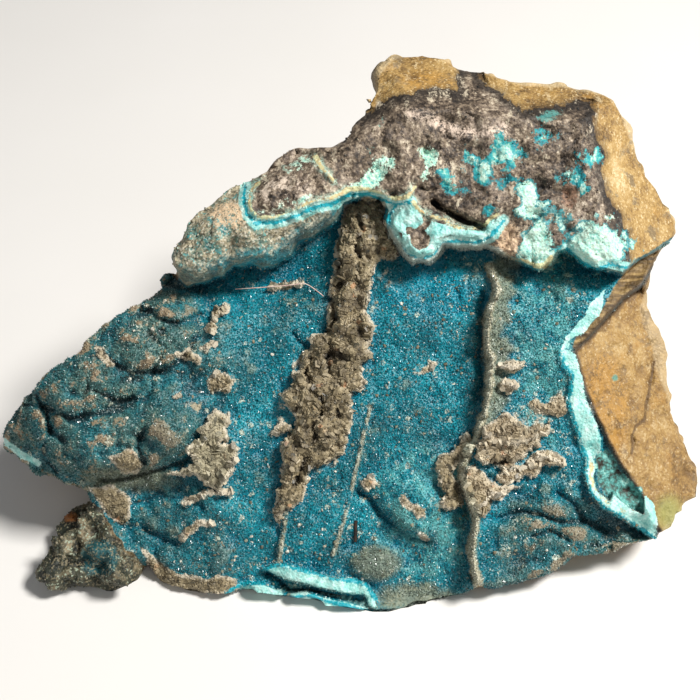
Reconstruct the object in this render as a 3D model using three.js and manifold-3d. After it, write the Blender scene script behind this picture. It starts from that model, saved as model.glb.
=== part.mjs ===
// Chrysocolla specimen: one fist-sized wedge of brown matrix rock that rests on a flat worn foot.
// Its broad face leans back and looks towards -Y. Blue chrysocolla under quartz druse fills the face,
// a dark deck and a rolled arm stand proud above it, and ochre breaks fall away on the right.
// Millimetres, Z up.
import * as THREE from 'three';
import { ImprovedNoise } from 'three/addons/math/ImprovedNoise.js';
import Module from 'manifold-3d';

// Driving sizes
const specimenWidth = 102; // left tip to lower right corner
const faceLean = 45; // degrees between the face and the floor
const footToCentre = 31; // from the lower front edge back to the origin, in the middle of the foot
const rockDepth = 69; // from the lower front edge to the back
const cellSize = 1.95; // facet size on the face
const floorGap = 0.25; // no vertex is nearer the floor than this before the foot is cut flat
const sideTaper = 0.3; // how far the flanks draw in for each millimetre behind the face

// The outlines are drawn on the plane of the face, across and up it, as seen from a point this far
// in front of it and this high up it. They are drawn for a specimen of drawnWidth.
const sightDistance = 186;
const sightHeight = 37.9;
const drawnWidth = 102;
const scale = specimenWidth / drawnWidth;

const silhouette = [
  [-50.4, 26.1], [-48.7, 29.4], [-45.6, 32.7], [-42.1, 35.9], [-38, 38.3], [-36.3, 40.3], [-34, 41.9],
  [-29.4, 44.4], [-26.9, 47.1], [-26.3, 49.1], [-26.9, 50.7], [-25.8, 52.6], [-24.1, 54.6],
  [-21.3, 57.6], [-18.3, 59.7], [-14.9, 61.8], [-10.1, 64.9], [-6.9, 66.5], [-5.9, 65.7], [-3.7, 66],
  [-1.9, 66.9], [-0.6, 68.3], [1.6, 70.8], [2.8, 74], [3.6, 76.8], [5.3, 78.9], [6.7, 80], [8.9, 80.3],
  [10.2, 81], [11.9, 80.4], [14.1, 79.3], [16.4, 78.4], [19.6, 77.6], [24.3, 76], [30.6, 75.8],
  [34.3, 75], [36.9, 74.4], [39, 71.9], [39.6, 69.9], [40.9, 66.4], [43.6, 62], [46, 57.3],
  [48.1, 54.9], [45.3, 52.2], [43.4, 50], [43, 47.3], [41.6, 43.6], [43.4, 38.7], [43.9, 35.6],
  [45.3, 32.3], [46.4, 28.7], [48.3, 24.7], [49.9, 20.7], [50, 17.4], [48.1, 16.1], [45.9, 13.3],
  [43.7, 10.9], [41.1, 10.4], [38.3, 9.5], [33.4, 8.9], [27.7, 6.6], [23.9, 4.7], [17.6, 3.9],
  [15.3, 2.6], [10.6, 1.3], [5.7, 0.1], [4.1, -0.1], [0, 0.7], [-5.4, 1.9], [-11.7, 2.9],
  [-15.3, 4], [-17.4, 3], [-21.3, 3.1], [-24.4, 3.4], [-27.7, 4.7], [-28, 6.6], [-29.6, 9.1],
  [-33.1, 12.3], [-34.7, 15.6], [-37.3, 17.4], [-39.1, 18.3], [-44, 20.3], [-48.1, 23.1],
];

// The shelf is the arm and the deck together; its lower edge hangs over the blue hollow.
const shelf = [
  [-40, 56], [-26.4, 49.4], [-23.3, 46.9], [-19.6, 48.1], [-16.6, 49.6], [-12.3, 49.7], [-10.4, 50],
  [-8.7, 51.3], [-5, 54.1], [-2, 56.4], [-0.7, 58.6], [1.4, 59.7], [5.1, 58], [5.4, 55.1],
  [7.6, 51.6], [9.1, 50.6], [11, 50.6], [13.4, 52.7], [19.4, 52.7], [22.9, 51.3], [27.1, 49.4],
  [30.6, 52.6], [33.9, 50], [38.9, 48.4], [41.3, 51], [50, 55.5], [60, 90], [-40, 90],
];

// The lower right break, set back behind the notch under the shelf.
const lowerBreak = [
  [32.1, 37.7], [34.1, 39.6], [36.6, 42.3], [39, 45.1], [41.6, 47], [43.6, 50], [46.6, 53.6],
  [62, 53.6], [62, -6], [46, -6], [44.3, 12.1], [37.9, 23.6], [34.6, 29.9], [33, 35.6],
];

// Brown crust that runs down the face from a gap in the shelf's edge.
const crustColumn = [
  [-0.7, 58.6], [-3.1, 40.7], [-7.1, 37.9], [-7.4, 34.7], [-9.4, 31.3], [-7.7, 27.1], [-10, 24.3],
  [-9.4, 20.7], [-10.9, 15], [-8.3, 15.7], [-6.1, 20], [-0.7, 24.3], [0, 29.3], [2.1, 35],
  [2.6, 43.6], [4.3, 50.4], [6.6, 51], [5.7, 55],
];

// Flat breaks that slope away from the face: a point on each, its height there, its way down
// across the face and how steeply it falls.
const topLeftBreak = { at: [7.1, 74.7], height: 1, way: [-0.45, 0.89], fall: 1.3 };
const topBreak = { at: [27.9, 72.5], height: 1.5, way: [0.1, 0.99], fall: 1.6 };
const rightBreak = { at: [37.4, 63.5], height: 1.5, way: [0.96, 0.28], fall: 1 };
const lowRightBreak = { at: [38, 25], height: 0.5, way: [0.9, 0.43], fall: 0.75 };

// Rounded lobes of druse: centre on the face, half width and half height, turn in degrees, height
const lobes = [
  { at: [-25.4, 44.6], half: [4.2, 2.8], turn: 20, height: 2.2 },
  { at: [-28.6, 39.3], half: [6.6, 4.4], turn: 25, height: 2.4 },
  { at: [-38.6, 32.2], half: [7.2, 4], turn: 15, height: 2 },
  { at: [-31.4, 25], half: [11, 5.2], turn: -8, height: 2.6 },
  { at: [-18, 41], half: [5, 7], turn: 0, height: 1.2 },
  { at: [11.4, 14.3], half: [6.5, 4.5], turn: 10, height: 1.6 },
  { at: [3.4, 7.1], half: [3.6, 2.6], turn: 0, height: 1.5 },
  { at: [-22, 7], half: [5.5, 3.4], turn: 5, height: 1.4 },
];

// The upright ridge that stands on a low step to the right of the crust
const ridgeLine = [
  [20, 49.9], [21, 46.4], [19.6, 40], [20.3, 35.7], [19.6, 30], [16.3, 22], [18, 14], [17.6, 4],
];

// A knob that grew under the left lobes and reaches the floor: centre across, up and out of the
// face, and its half sizes.
const knobLobes = [
  { at: [-40.4, 7.6, -3.6], half: [4.2, 4.4, 5] },
  { at: [-34.6, 7.2, -3.8], half: [4.4, 4.6, 6] },
  { at: [-36, 12, -8], half: [7, 4, 8] },
];

// Breaks behind and under the rock: a point on each, across, back and up from the floor below the
// lower front edge, and the way it faces.
const hiddenBreaks = [
  { at: [0, rockDepth - 2, 50], faces: [0.1, 0.95, 0.25] },
  { at: [0, rockDepth - 8, 14], faces: [-0.1, 0.85, -0.5] },
  { at: [-30, 44, 30], faces: [-0.75, 0.6, 0.2] },
  { at: [52, 48, 25], faces: [0.8, 0.5, 0.1] },
  { at: [-44, 14, 5], faces: [-0.7, -0.1, -0.7] },
];

const rockMaterial = new THREE.MeshStandardMaterial({
  name: 'chrysocolla', color: '#2b6f86', roughness: 0.8, metalness: 0,
});

// Shape helpers
const smoothStep = (from, to, x) => {
  const part = THREE.MathUtils.clamp((x - from) / (to - from), 0, 1);
  return part * part * (3 - 2 * part);
};
const smoothMin = (a, b, width) => {
  const mix = THREE.MathUtils.clamp(0.5 + (b - a) / (2 * width), 0, 1);
  return b + (a - b) * mix - width * mix * (1 - mix);
};

function distanceToLine(points, s, t, closed) {
  let nearest = Infinity;
  for (let i = closed ? 0 : 1; i < points.length; i++) {
    const [s0, t0] = points[(i + points.length - 1) % points.length];
    const [s1, t1] = points[i];
    const along = ((s - s0) * (s1 - s0) + (t - t0) * (t1 - t0)) / ((s1 - s0) ** 2 + (t1 - t0) ** 2);
    const part = THREE.MathUtils.clamp(along, 0, 1);
    nearest = Math.min(nearest, Math.hypot(s - s0 - part * (s1 - s0), t - t0 - part * (t1 - t0)));
  }
  return nearest;
}

// How far inside an outline a place lies; less than nothing outside it
function depthInside(outline, s, t) {
  let inside = false;
  for (let i = 0; i < outline.length; i++) {
    const [s0, t0] = outline[(i + outline.length - 1) % outline.length];
    const [s1, t1] = outline[i];
    if (t0 > t !== t1 > t && s < s0 + ((t - t0) * (s1 - s0)) / (t1 - t0)) inside = !inside;
  }
  const distance = distanceToLine(outline, s, t, true);
  return inside ? distance : -distance;
}

const breakHeight = ({ at, height, way, fall }, s, t) =>
  height - fall * ((s - at[0]) * way[0] + (t - at[1]) * way[1]);

const noise = new ImprovedNoise();
const roughness = (x, y, z, size) => noise.noise(x / size + 7.3, y / size + 2.9, z / size + 5.1);

// Height of the face out of its own plane
function faceHeight(s, t) {
  let low = -1 + 2.6 * Math.exp(-(((s + 33) / 15) ** 2) - ((t - 31) / 13) ** 2); // the left swell
  low -= 0.034 * Math.max(0, -s - 37) ** 2; // the left tip turns away
  low -= 2.4 * smoothStep(22, 17, t) * smoothStep(-18, -24, s); // the step under the left lobes
  for (const { at, half, turn, height } of lobes) {
    const angle = THREE.MathUtils.degToRad(turn);
    const across = ((s - at[0]) * Math.cos(angle) + (t - at[1]) * Math.sin(angle)) / half[0];
    const up = (-(s - at[0]) * Math.sin(angle) + (t - at[1]) * Math.cos(angle)) / half[1];
    low += height * Math.exp(-(across ** 2) - up ** 2);
  }
  low += 2.2 * smoothStep(-0.6, 1.4, depthInside(crustColumn, s, t));
  const ridgeAt = THREE.MathUtils.lerp(17.4, 20.4, smoothStep(10, 40, t));
  low += 1.8 * smoothStep(ridgeAt - 1, ridgeAt + 1, s) * smoothStep(50, 46, t);
  low += 1.5 * Math.exp(-((distanceToLine(ridgeLine, s, t, false) / 1.2) ** 2));
  low += 0.8 * roughness(s, t, 0, 9);
  // a pale slab stands out along the foot
  low += 1.8 * smoothStep(5, 2.5, t) * smoothStep(-15, -9, s) * smoothStep(9, 6, s);
  const shelfDepth = depthInside(shelf, s, t);
  low -= 2.6 * smoothStep(-7, -1, shelfDepth); // the hollow runs in under the shelf
  const lowRight = breakHeight(lowRightBreak, s, t);
  low += (lowRight - low) * smoothStep(-0.9, 0.9, depthInside(lowerBreak, s, t));

  const alongArm = smoothStep(4, -6, s);
  const acrossArm = (t - 58.5 - (s + 10) * 0.5) / 5.5;
  let high = 3.6 + alongArm * (2.8 * Math.exp(-(acrossArm ** 2)) - 0.8);
  high -= 1.6 * smoothStep(2.2, 0, shelfDepth);
  high += 0.9 * roughness(s, t, 4, 8);
  for (const cut of [topLeftBreak, topBreak, rightBreak]) high = smoothMin(high, breakHeight(cut, s, t), 0.6);
  return low + (high - low) * smoothStep(-0.9, 0.9, shelfDepth);
}

// From across, up and out of the face to the row's frame, with the face leaning back
const lean = THREE.MathUtils.degToRad(faceLean);
function stand([across, up, out]) {
  return [
    across,
    up * Math.cos(lean) - out * Math.sin(lean),
    up * Math.sin(lean) + out * Math.cos(lean),
  ];
}

// The place at s, t on the plane of the face, followed away from the point of sight to height w
function place(s, t, w) {
  const spread = (sightDistance - w) / sightDistance;
  return [s * spread, sightHeight + (t - sightHeight) * spread, w];
}

// How deep a place lies in the rock; less than nothing outside it
function rockField(column, w) {
  const at = place(column.s, column.t, w);
  const behind = Math.max(0, column.height - w);
  const flank = 0.5 + column.edge * (1 - w / sightDistance) - sideTaper * behind;
  const rough = 2.4 * roughness(...at, 17) + 1.1 * roughness(...at, 7);
  let field = smoothMin(column.height - w, flank + rough * smoothStep(0, 9, behind), 1.2);
  const standing = stand(at);
  for (const { at: point, faces } of hiddenBreaks) {
    const size = Math.hypot(...faces);
    const within = faces.reduce((sum, part, axis) => sum + part * (point[axis] - standing[axis]), 0);
    field = smoothMin(field, within / size + 0.7 * rough, 1.5);
  }
  for (const { at: centre, half } of knobLobes) {
    const reach = Math.hypot(...centre.map((middle, axis) => (at[axis] - middle) / half[axis]));
    const lobe = (1 - reach) * Math.min(...half) + 0.5 * roughness(...at, 4);
    field = -smoothMin(-field, -lobe, 0.8);
  }
  return field;
}

// Samples the rock on a grid that spreads with the lines of sight and gets coarser to the back
function sampleRock() {
  const acrossSteps = Math.ceil(108 / cellSize);
  const upSteps = Math.ceil(90 / cellSize);
  const layers = [12];
  while (layers.at(-1) > -92) {
    const growth = Math.min(2.6, 1 + Math.max(0, 2 - layers.at(-1)) * 0.06);
    layers.push(layers.at(-1) - 0.85 * cellSize * growth);
  }
  const columns = [];
  for (let j = 0; j <= upSteps; j++) {
    for (let i = 0; i <= acrossSteps; i++) {
      const s = -54 + i * cellSize;
      const t = -4.5 + j * cellSize;
      columns.push({ s, t, edge: depthInside(silhouette, s, t), height: faceHeight(s, t) });
    }
  }
  const size = [acrossSteps + 1, upSteps + 1, layers.length];
  const values = layers.flatMap((w) => columns.map((column) => rockField(column, w)));
  const where = (i, j, k) => {
    const { s, t } = columns[i + size[0] * j];
    return place(s, t, layers[k]);
  };
  return { size, values, where };
}

// Where two bits of rock would only touch along an edge, fills the shallower gap between them
function joinTouching({ size: [nx, ny, nz], values }) {
  const steps = [1, nx, nx * ny];
  let filled = true;
  while (filled) {
    filled = false;
    for (let here = 0; here < values.length - nx * ny - nx - 1; here++) {
      for (let axis = 0; axis < 3; axis++) {
        const [one, other] = [steps[axis], steps[(axis + 1) % 3]];
        const corners = [here, here + one, here + one + other, here + other];
        const solid = corners.map((n) => values[n] > 0);
        if (solid[0] !== solid[2] || solid[1] !== solid[3] || solid[0] === solid[1]) continue;
        const gaps = corners.filter((n) => values[n] <= 0);
        values[values[gaps[0]] > values[gaps[1]] ? gaps[0] : gaps[1]] = 0.1;
        filled = true;
      }
    }
  }
}

// One vertex in each cell that the surface crosses, and a pair of facets across each crossed edge
function skin({ size: [nx, ny, nz], values, where }) {
  const index = (i, j, k) => i + nx * (j + ny * k);
  const steps = [1, nx, nx * ny];
  const vertexOf = new Map();
  const positions = [];
  const facets = [];
  for (let k = 0; k < nz - 1; k++) {
    for (let j = 0; j < ny - 1; j++) {
      for (let i = 0; i < nx - 1; i++) {
        const total = [0, 0, 0];
        let crossings = 0;
        for (let axis = 0; axis < 3; axis++) {
          for (let corner = 0; corner < 4; corner++) {
            const from = [i, j, k];
            from[(axis + 1) % 3] += corner & 1;
            from[(axis + 2) % 3] += corner >> 1;
            const to = from.slice();
            to[axis] += 1;
            const a = values[index(...from)];
            const b = values[index(...to)];
            if (a > 0 === b > 0) continue;
            const [start, end] = [where(...from), where(...to)];
            for (let n = 0; n < 3; n++) total[n] += start[n] + (end[n] - start[n]) * (a / (a - b));
            crossings += 1;
          }
        }
        if (crossings === 0) continue;
        vertexOf.set(index(i, j, k), positions.length / 3);
        const vertex = stand(total.map((sum) => sum / crossings));
        if (Math.abs(vertex[2]) < floorGap) vertex[2] = vertex[2] < 0 ? -floorGap : floorGap;
        positions.push(...vertex);
      }
    }
  }
  for (let k = 1; k < nz - 1; k++) {
    for (let j = 1; j < ny - 1; j++) {
      for (let i = 1; i < nx - 1; i++) {
        const here = index(i, j, k);
        for (let axis = 0; axis < 3; axis++) {
          const inside = values[here] > 0;
          if (inside === values[here + steps[axis]] > 0) continue;
          const [one, other] = [steps[(axis + 1) % 3], steps[(axis + 2) % 3]];
          const ring = [here - one - other, here - other, here, here - one].map((n) => vertexOf.get(n));
          if (inside) ring.reverse(); // the layers run backwards
          facets.push(ring[0], ring[1], ring[2], ring[0], ring[2], ring[3]);
        }
      }
    }
  }
  return { positions, facets };
}

// manifold-3d cuts the foot flat
const { Manifold, Mesh } = await Module().then((library) => {
  library.setup();
  return library;
});

function solidFrom(positions, facets) {
  return new Manifold(new Mesh({
    numProp: 3,
    vertProperties: new Float32Array(positions),
    triVerts: new Uint32Array(facets),
  }));
}

function boxSolid(width, depth, height, centre) {
  const corners = [];
  for (const z of [-0.5, 0.5]) {
    for (const [x, y] of [[-0.5, -0.5], [0.5, -0.5], [0.5, 0.5], [-0.5, 0.5]]) {
      corners.push(centre[0] + x * width, centre[1] + y * depth, centre[2] + z * height);
    }
  }
  const walls = [0, 1, 2, 3].flatMap((n) => {
    const next = (n + 1) % 4;
    return [n, next, next + 4, n, next + 4, n + 4];
  });
  return solidFrom(corners, [0, 2, 1, 0, 3, 2, 4, 5, 6, 4, 6, 7, ...walls]);
}

const samples = sampleRock();
joinTouching(samples);
const { positions, facets } = skin(samples);
const ground = boxSolid(200, 200, 60, [0, 30, -30]);
const pieces = solidFrom(positions, facets).subtract(ground).decompose();
const cut = pieces.sort((a, b) => b.volume() - a.volume())[0].getMesh();

const rockGeometry = new THREE.BufferGeometry();
rockGeometry.setAttribute('position', new THREE.Float32BufferAttribute(cut.vertProperties, 3));
rockGeometry.setIndex(new THREE.BufferAttribute(cut.triVerts, 1));
rockGeometry.translate(0, -footToCentre, 0);
rockGeometry.scale(scale, scale, scale);
rockGeometry.computeVertexNormals();

const specimen = new THREE.Group();
const rock = new THREE.Mesh(rockGeometry, rockMaterial);
rock.name = 'chrysocolla_rock';
specimen.add(rock);

export default specimen;
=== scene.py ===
import math
import bmesh
import bpy
import numpy as np
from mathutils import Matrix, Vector


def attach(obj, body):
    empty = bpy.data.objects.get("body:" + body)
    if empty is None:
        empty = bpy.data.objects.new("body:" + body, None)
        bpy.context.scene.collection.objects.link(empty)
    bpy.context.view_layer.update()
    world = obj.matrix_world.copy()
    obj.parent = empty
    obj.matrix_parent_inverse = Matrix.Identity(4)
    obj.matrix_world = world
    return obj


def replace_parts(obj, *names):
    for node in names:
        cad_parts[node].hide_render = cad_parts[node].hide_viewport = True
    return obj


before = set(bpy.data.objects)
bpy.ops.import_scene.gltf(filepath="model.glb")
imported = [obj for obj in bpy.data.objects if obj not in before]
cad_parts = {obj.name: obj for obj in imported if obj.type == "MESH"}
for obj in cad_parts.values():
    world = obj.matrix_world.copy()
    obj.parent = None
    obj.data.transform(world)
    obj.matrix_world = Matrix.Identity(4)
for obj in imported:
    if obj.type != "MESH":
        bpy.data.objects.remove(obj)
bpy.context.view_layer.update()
print("frame loaded")

# Places on the blue face are in millimetres: s across it, t up it and w out of it. s and t are
# measured on the plane w = 0, along the lines that meet at the sight point.
face = {
    "lean": math.radians(45),  # how far the face leans back
    "foot": 31.0,  # from the lower front edge back to the origin
    "sight": 186.0,  # how far the sight point stands out from the face
    "level": 37.9,  # how high up the face it stands
}


def rowPoints(s, t, w):
    # face places in millimetres to the row frame in metres
    spread = (face["sight"] - w) / face["sight"]
    across = s * spread
    up = face["level"] + (t - face["level"]) * spread
    back = up * math.cos(face["lean"]) - w * math.sin(face["lean"]) - face["foot"]
    height = up * math.sin(face["lean"]) + w * math.cos(face["lean"])
    return np.stack([across, back, height], -1) / 1000


def facePlaces(points):
    # the row frame in metres to face places in millimetres
    across, back, height = (points * 1000).T
    back = back + face["foot"]
    up = back * math.cos(face["lean"]) + height * math.sin(face["lean"])
    w = height * math.cos(face["lean"]) - back * math.sin(face["lean"])
    spread = (face["sight"] - w) / face["sight"]
    return across / spread, face["level"] + (up - face["level"]) / spread, w


def smooth(start, end, x):
    part = np.clip((x - start) / (end - start), 0, 1)
    return part * part * (3 - 2 * part)


farOff = 9.0  # distances are not worked out beyond this


def isNear(points, s, t):
    low, high = points.min(0) - farOff, points.max(0) + farOff
    return (s > low[0]) & (s < high[0]) & (t > low[1]) & (t < high[1])


def lineDistance(points, s, t, closed=False):
    ends = np.array(points, float)
    starts = np.roll(ends, 1, 0)
    near = isNear(ends, s, t)
    ns, nt = s[near], t[near]
    nearest = np.full(ns.shape, farOff)
    for (s0, t0), (s1, t1) in list(zip(starts, ends))[0 if closed else 1:]:
        along = ((ns - s0) * (s1 - s0) + (nt - t0) * (t1 - t0)) / ((s1 - s0) ** 2 + (t1 - t0) ** 2)
        part = np.clip(along, 0, 1)
        away = np.hypot(ns - s0 - part * (s1 - s0), nt - t0 - part * (t1 - t0))
        nearest = np.minimum(nearest, away)
    distance = np.full(s.shape, farOff)
    distance[near] = nearest
    return distance


def depthInside(outline, s, t):
    # how far inside an outline a place lies, less than nothing outside it
    ends = np.array(outline, float)
    starts = np.roll(ends, 1, 0)
    near = isNear(ends, s, t)
    ns, nt = s[near], t[near]
    inside = np.zeros(ns.shape, bool)
    for (s0, t0), (s1, t1) in zip(starts, ends):
        if t0 == t1:
            continue
        crosses = ((t0 > nt) != (t1 > nt)) & (ns < s0 + (nt - t0) * (s1 - s0) / (t1 - t0))
        inside ^= crosses
    depth = -lineDistance(outline, s, t, True)
    depth[near] *= np.where(inside, -1, 1)
    return depth


# Large odd numbers that scatter a cell's place and seed, and the rounds that stir them
scatter = (73856093, 19349663, 83492791, 2654435761)
stirs = ((13, 1274126177), (16, 2246822519))


def lattice(cell, seed):
    # an even random number from 0 to 1 for each whole-number cell
    mixed = seed * scatter[3]
    for n in range(3):
        mixed = mixed ^ (cell[..., n].astype(np.int64) * scatter[n])
    for shift, factor in stirs:
        mixed = (mixed ^ (mixed >> shift)) * factor & 0xFFFFFFFF
    return ((mixed >> 8) & 0xFFFF) / 0xFFFF


def waves(s, t, w, size, seed=1):
    # smooth random hills about size apart, from -1 to 1
    place = np.stack(np.broadcast_arrays(s, t, w), -1) / size + 0.37 * seed
    cell = np.floor(place)
    part = place - cell
    part = part * part * (3 - 2 * part)
    total = 0
    for corner in range(8):
        step = np.array([corner & 1, corner >> 1 & 1, corner >> 2])
        weight = np.prod(np.where(step == 1, part, 1 - part), -1)
        total = total + weight * lattice(cell + step, seed)
    return total * 2 - 1


def rough(s, t, w, size, seed=1, octaves=3):
    total = 0
    for octave in range(octaves):
        total = total + waves(s, t, w, size / 2 ** octave, seed + octave) / 2 ** octave
    return total


def clumps(s, t, size, seed=1):
    # rounded clumps: 1 at the middle of each and 0 where they meet
    place = np.stack([s, t, np.zeros_like(s)], -1) / size
    cell = np.floor(place)
    nearest = np.full(s.shape, 9.0)
    for i in (-1, 0, 1):
        for j in (-1, 0, 1):
            near = cell + np.array([i, j, 0])
            middle = near[..., :2] + np.stack([lattice(near, seed), lattice(near, seed + 9)], -1)
            nearest = np.minimum(nearest, ((place[..., :2] - middle) ** 2).sum(-1))
    return 1 - np.clip(nearest, 0, 1)


# Outlines on the face in millimetres: the whole rock, the deck that overhangs the blue sheet, the
# lower break, the notch's wall and where the deck is dark
silhouette = [
    (-50.4, 26.1), (-48.7, 29.4), (-45.6, 32.7), (-42.1, 35.9), (-38, 38.3), (-36.3, 40.3), (-34, 41.9),
    (-29.4, 44.4), (-26.9, 47.1), (-26.3, 49.1), (-26.9, 50.7), (-25.8, 52.6), (-24.1, 54.6),
    (-21.3, 57.6), (-18.3, 59.7), (-14.9, 61.8), (-10.1, 64.9), (-6.9, 66.5), (-5.9, 65.7), (-3.7, 66),
    (-1.9, 66.9), (-0.6, 68.3), (1.6, 70.8), (2.8, 74), (3.6, 76.8), (5.3, 78.9), (6.7, 80), (8.9, 80.3),
    (10.2, 81), (11.9, 80.4), (14.1, 79.3), (16.4, 78.4), (19.6, 77.6), (24.3, 76), (30.6, 75.8),
    (34.3, 75), (36.9, 74.4), (39, 71.9), (39.6, 69.9), (40.9, 66.4), (43.6, 62), (46, 57.3),
    (48.1, 54.9), (45.3, 52.2), (43.4, 50), (43, 47.3), (41.6, 43.6), (43.4, 38.7), (43.9, 35.6),
    (45.3, 32.3), (46.4, 28.7), (48.3, 24.7), (49.9, 20.7), (50, 17.4), (48.1, 16.1), (45.9, 13.3),
    (43.7, 10.9), (41.1, 10.4), (38.3, 9.5), (33.4, 8.9), (27.7, 6.6), (23.9, 4.7), (17.6, 3.9),
    (15.3, 2.6), (10.6, 1.3), (5.7, 0.1), (4.1, -0.1), (0, 0.7), (-5.4, 1.9), (-11.7, 2.9), (-15.3, 4),
    (-17.4, 3), (-21.3, 3.1), (-24.4, 3.4), (-27.7, 4.7), (-28, 6.6), (-29.6, 9.1), (-33.1, 12.3),
    (-34.7, 15.6), (-37.3, 17.4), (-39.1, 18.3), (-44, 20.3), (-48.1, 23.1),
]
shelf = [
    (-40, 56), (-26.4, 49.4), (-24.8, 47.9), (-23.3, 46.9), (-21.6, 47.1), (-19.6, 48.1), (-17.9, 48.4),
    (-16.6, 49.6), (-14.7, 50), (-12.3, 49.7), (-10.4, 50), (-8.7, 51.3), (-7, 53), (-5, 54.1),
    (-3.3, 55.1), (-2, 56.4), (-0.7, 58.6), (1.4, 59.7), (4.2, 59.6), (5.2, 58), (5, 56), (6, 54),
    (7.2, 52), (9.1, 50.5), (11.2, 50.4), (12.8, 51.6), (13.6, 52.8), (15.9, 52.4), (19.4, 52.6),
    (21.5, 51.9), (23.5, 50.9), (27.1, 49.3), (28.7, 50.3), (29.9, 51.9), (31.2, 52.2), (33.9, 49.9),
    (36.6, 49.5), (38.9, 48.6), (41.3, 51), (50, 55.5), (60, 90), (-40, 90),
]
lowerBreak = [
    (32.1, 37.7), (34.1, 39.6), (36.6, 42.3), (39, 45.1), (41.6, 47), (43.6, 50), (46.6, 53.6),
    (62, 53.6), (62, -6), (46, -6), (44.3, 12.1), (42.6, 16), (40.5, 19), (38, 22.5), (36.6, 25.6),
    (34.6, 29.9), (33.4, 33), (32.6, 36.3),
]
notchWall = [
    (41.3, 50.9), (39.4, 49.4), (37.6, 47), (36.6, 45), (34.8, 42.2), (32.2, 40.1), (31.6, 38.2),
    (32.4, 37.7), (34.1, 39.6), (36.6, 42.3), (39, 45.1), (41.6, 47), (43.6, 50), (46.8, 53.8),
]
darkDeck = [
    (-45, 40), (-45, 71.4), (2.4, 71.4), (5.7, 73.9), (9.1, 74.7), (12.1, 75.3), (15.6, 74.7),
    (15.3, 76.5), (16.5, 80), (18.2, 80), (18.7, 76.9), (19.6, 75.6), (21.7, 74.7), (23.4, 73.1),
    (24.7, 71.9), (28.1, 72.7), (32.6, 73.4), (34.6, 73.4), (34.6, 71.3), (35.1, 68.9), (36.1, 67.3),
    (36.7, 66), (36.1, 63.7), (36.6, 60.7), (37.9, 58.4), (38.9, 56.9), (39.4, 54.6), (39.9, 51.3),
    (39.6, 47), (38, 40),
]
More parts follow.
